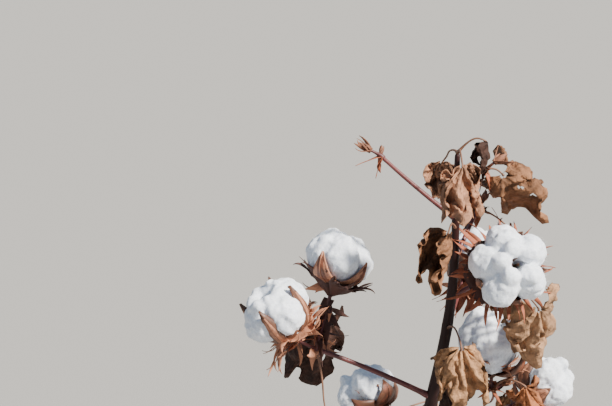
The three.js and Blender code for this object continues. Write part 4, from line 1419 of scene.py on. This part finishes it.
def surface(name, colour, patch, roughness, **looks):
    """A dry plant surface: mottled colour, grain and, where wanted, creases on one shader."""
    own = Row(**{**PLAIN, **looks})
    material = bpy.data.materials.new(name)
    material.use_nodes = True
    tree = material.node_tree
    shader = tree.nodes["Principled BSDF"]
    values = {
        "Colour": (*colour, 1),
        "Patch Colour": (*patch, 1),
        "Patch Scale": own.patch_scale,
        "Patch Amount": own.patch_amount,
        "Grain Scale": own.grain,
        "Stretch": own.stretch,
    }
    mottle = bpy.data.node_groups.get("Dry Mottle") or mottle_group()
    mottle = add_node(tree, "ShaderNodeGroup", values, node_tree=mottle).outputs
    tree.links.new(mottle["Colour"], shader.inputs["Base Color"])
    values = {"Strength": own.bump, "Distance": own.depth, "Height": mottle["Height"]}
    bump = add_node(tree, "ShaderNodeBump", values)
    if own.crease:
        creases = bpy.data.node_groups.get("Creases") or crease_group()
        creases = add_node(tree, "ShaderNodeGroup", {"Scale": own.crease}, node_tree=creases)
        values = {"Strength": own.bump, "Distance": own.crease_depth, "Height": creases.outputs["Height"]}
        fold = add_node(tree, "ShaderNodeBump", values)
        tree.links.new(fold.outputs["Normal"], bump.inputs["Normal"])
    tree.links.new(bump.outputs["Normal"], shader.inputs["Normal"])
    for socket, value in {"Roughness": roughness, **own.sockets}.items():
        shader.inputs[socket].default_value = value
    return material


def colour_prop(name, description, default):
    return bpy.props.FloatVectorProperty(
        name=name, description=description, default=default, size=3, min=0, max=1, subtype="COLOR"
    )


class CottonColours(bpy.types.PropertyGroup):
    # The main stem's near-black bark is partly its own dark bark and partly painted shade from the leaves
    # over it
    bark: colour_prop("Bark", "Main stem", (0.014, 0.0065, 0.005))
    red_bark: colour_prop("Red bark", "Limbs and twigs", (0.15, 0.034, 0.031))
    stalk: colour_prop("Leaf stalks", "Dry leaf stalks", (0.22, 0.1, 0.055))
    lint: colour_prop("Lint", "Open cotton", (0.86, 0.9, 0.96))
    case: colour_prop("Case", "Split woody boll case", (0.14, 0.055, 0.028))
    bract: colour_prop("Bracts", "Dry toothed bracts", (0.54, 0.23, 0.125))
    rust_bract: colour_prop("Rust bracts", "Orange brown bracts", (0.36, 0.1, 0.042))
    dark_bract: colour_prop("Dark bracts", "Weathered bracts", (0.07, 0.024, 0.016))
    straw: colour_prop("Straw leaves", "Palest leaves", (0.5, 0.26, 0.125))
    tan: colour_prop("Tan leaves", "Greyish tan leaves", (0.44, 0.245, 0.13))
    rose: colour_prop("Rose leaves", "Pinkish tan leaves", (0.44, 0.215, 0.12))
    rust: colour_prop("Rust leaves", "Orange brown leaves", (0.38, 0.135, 0.05))
    brown: colour_prop("Brown leaves", "Brown leaves", (0.29, 0.13, 0.06))
    # The dark leaf tone is partly the dry leaves' own chocolate brown and partly painted shade, for leaves
    # that hang in shadow
    dark: colour_prop("Dark leaves", "Dark brown leaves", (0.065, 0.027, 0.017))
    floor: colour_prop("Floor", "Studio floor", (0.3, 0.29, 0.27))


class CottonSizes(bpy.types.PropertyGroup):
    fibres: bpy.props.IntProperty(name="Fibres", description="Loose fibres on each boll", default=620, min=0)
    voxel: bpy.props.FloatProperty(
        name="Lint grain",
        description="Cell in which the lint runs together",
        default=0.0017,
        min=0.0005,
        unit="LENGTH",
    )
    rounds: bpy.props.IntProperty(
        name="Fold rounds", description="Steps in which the leaves crumple", default=220, min=1
    )
    relief: bpy.props.FloatProperty(
        name="Leaf relief", description="Height of veins and fine folds as a share", default=1, min=0
    )
    key_power: bpy.props.FloatProperty(
        name="Key light", description="Strength of the sun lamp", default=12, min=0
    )
    fill_power: bpy.props.FloatProperty(
        name="Fill light", description="Strength of the pale surroundings", default=0.46, min=0
    )
    lens: bpy.props.FloatProperty(name="Lens", description="Focal length", default=105, min=1, unit="CAMERA")


class COTTON_OT_stem(bpy.types.Operator):
    """Dress the main stem with ridged bark"""

    bl_idname = "cotton.stem"
    bl_label = "Stem Bark"

    def execute(self, context):
        colours = context.scene.cotton_colours
        # The bark colour here is partly the stem's own dark bark and partly painted shade from the leaves
        # over it
        material = surface("Stem bark", colours.bark, toned(colours.red_bark, 0.35), 0.6, **STEM_LOOK)
        place(make_stem_bark(material), ["stem"])
        return {"FINISHED"}


class COTTON_OT_limbs(bpy.types.Operator):
    """Dress each limb with red-brown bark"""

    bl_idname = "cotton.limbs"
    bl_label = "Limb Bark"

    def execute(self, context):
        colours = context.scene.cotton_colours
        material = surface("Limb bark", colours.red_bark, toned(colours.bark, 1.3), 0.42, **LIMB_LOOK)
        for index, row in enumerate(LIMBS):
            place(make_limb_bark(row, index, material), [f"limb_{index + 1:02d}"])
        return {"FINISHED"}


class COTTON_OT_twigs(bpy.types.Operator):
    """Grow the zigzag twigs, the stalks and the dry buds"""

    bl_idname = "cotton.twigs"
    bl_label = "Twigs and Stalks"

    def execute(self, context):
        colours = context.scene.cotton_colours
        bark = surface("Twig bark", toned(colours.red_bark, 0.75), colours.bark, 0.5, patch_scale=90)
        stalk = surface("Leaf stalk", colours.stalk, toned(colours.stalk, 0.4), 0.6, patch_scale=70)
        bud = surface("Dry bud", colours.case, toned(colours.bract, 0.8), 0.8, patch_scale=120)
        place_all(make_twigs(bark, stalk, bud))
        return {"FINISHED"}


class COTTON_OT_lint(bpy.types.Operator):
    """Fill the bolls with white lint and loose fibres"""

    bl_idname = "cotton.lint"
    bl_label = "Lint"

    def execute(self, context):
        lint = context.scene.cotton_colours.lint
        sizes = context.scene.cotton_sizes
        material = surface("Lint", lint, toned(lint, 0.93), 0.95, **LINT_LOOK)
        fuzz = surface("Lint fibres", lint, lint, 0.9, patch_amount=0.1)
        place_all(make_lint(material, fuzz, sizes.fibres, sizes.voxel * 1000), nodes_named("shoot"))
        return {"FINISHED"}


class COTTON_OT_cases(bpy.types.Operator):
    """Set the split woody case under each boll"""

    bl_idname = "cotton.cases"
    bl_label = "Boll Cases"

    def execute(self, context):
        colours = context.scene.cotton_colours
        case, bract, rust = colours.case, colours.bract, colours.rust_bract
        cases = {
            "brown": surface("Brown case", case, toned(case, 0.4), 0.5, **CASE_LOOK),
            "tan": surface("Tan case", toned(bract, 0.9), toned(bract, 0.5), 0.5, **CASE_LOOK),
        }
        linings = {
            "tan": surface("Tan lining", toned(bract, 0.85), toned(case, 1.6), 0.6, **LINING_LOOK),
            "rust": surface("Rust lining", toned(rust, 0.55), toned(case, 0.6), 0.6, **LINING_LOOK),
        }
        place_all(make_cases(cases, linings))
        return {"FINISHED"}


class COTTON_OT_bracts(bpy.types.Operator):
    """Curl the toothed bracts round each case"""

    bl_idname = "cotton.bracts"
    bl_label = "Bracts"

    def execute(self, context):
        colours = context.scene.cotton_colours
        tones = {"tan": colours.bract, "rust": colours.rust_bract, "dark": colours.dark_bract}
        materials = {
            tone: surface(f"Bract {tone}", colour, toned(colour, 0.45), 0.75, **BRACT_LOOK)
            for tone, colour in tones.items()
        }
        place_all(make_bracts(materials))
        return {"FINISHED"}


class COTTON_OT_leaves(bpy.types.Operator):
    """Crumple the dry leaves and hang them on their stalks"""

    bl_idname = "cotton.leaves"
    bl_label = "Dry Leaves"

    def execute(self, context):
        colours = context.scene.cotton_colours
        sizes = context.scene.cotton_sizes
        materials = {}
        for tone in ("straw", "tan", "rose", "rust", "brown", "dark"):
            colour = getattr(colours, tone)
            # Patches at 0.28 of the leaf colour: partly the leaves' own dry blotches, partly painted shade
            # for their folds
            materials[tone] = surface(f"Leaf {tone}", colour, toned(colour, 0.28), 0.75, **LEAF_LOOK)
        pieces = make_leaves(materials, sizes.rounds, sizes.relief)
        place_all(pieces, nodes_named("stem_leaf", "tip_leaves"))
        return {"FINISHED"}


class COTTON_OT_stage(bpy.types.Operator):
    """Lay the pale floor and set the lights and the camera"""

    bl_idname = "cotton.stage"
    bl_label = "Floor, Lights and Camera"

    def execute(self, context):
        scene = context.scene
        colours = scene.cotton_colours
        sizes = scene.cotton_sizes
        pick()
        bpy.ops.mesh.primitive_plane_add(size=FLOOR_SIZE, location=(0, 0, 0))
        floor = context.object
        floor.name = "floor"
        floor.data.materials.append(surface("Floor", colours.floor, colours.floor, 0.9, bump=0.0))
        world = bpy.data.worlds.new("Studio")
        world.use_nodes = True
        light = world.node_tree.nodes["Background"]
        light.inputs["Color"].default_value = SKY
        light.inputs["Strength"].default_value = sizes.fill_power
        scene.world = world
        sun = bpy.data.lights.new("Key light", "SUN")
        sun.energy = sizes.key_power
        sun.angle = math.radians(SUN.angle)
        sun.color = SUN.colour
        key = bpy.data.objects.new("Key light", sun)
        key.rotation_euler = (math.radians(SUN.tilt), 0, math.radians(SUN.turn))
        scene.collection.objects.link(key)
        lens = bpy.data.cameras.new("Camera")
        lens.lens = sizes.lens
        lens.sensor_width = CAMERA.sensor
        camera = bpy.data.objects.new("Camera", lens)
        camera.location = CAMERA.place
        camera.rotation_euler = (math.radians(CAMERA.tilt), 0, 0)
        scene.collection.objects.link(camera)
        scene.camera = camera
        return {"FINISHED"}


class COTTON_PT_panel(bpy.types.Panel):
    bl_idname = "COTTON_PT_panel"
    bl_label = "Cotton Plant"
    bl_space_type = "VIEW_3D"
    bl_region_type = "UI"
    bl_category = "Cotton"

    def draw(self, context):
        layout = self.layout
        for group in (context.scene.cotton_sizes, context.scene.cotton_colours):
            for name in group.__annotations__:
                layout.prop(group, name)
        for operator in OPERATORS:
            layout.operator(operator.bl_idname)


OPERATORS = (
    COTTON_OT_stem,
    COTTON_OT_limbs,
    COTTON_OT_twigs,
    COTTON_OT_lint,
    COTTON_OT_cases,
    COTTON_OT_bracts,
    COTTON_OT_leaves,
    COTTON_OT_stage,
)
CLASSES = (CottonColours, CottonSizes, *OPERATORS, COTTON_PT_panel)


def register():
    for cls in CLASSES:
        bpy.utils.register_class(cls)
    bpy.types.Scene.cotton_colours = bpy.props.PointerProperty(type=CottonColours)
    bpy.types.Scene.cotton_sizes = bpy.props.PointerProperty(type=CottonSizes)


def unregister():
    del bpy.types.Scene.cotton_sizes
    del bpy.types.Scene.cotton_colours
    for cls in reversed(CLASSES):
        bpy.utils.unregister_class(cls)


def main():
    register()
    bpy.ops.cotton.stem()
    bpy.ops.cotton.limbs()
    bpy.ops.cotton.twigs()
    bpy.ops.cotton.lint()
    bpy.ops.cotton.cases()
    bpy.ops.cotton.bracts()
    bpy.ops.cotton.leaves()
    bpy.ops.cotton.stage()


if __name__ == "__main__":
    main()
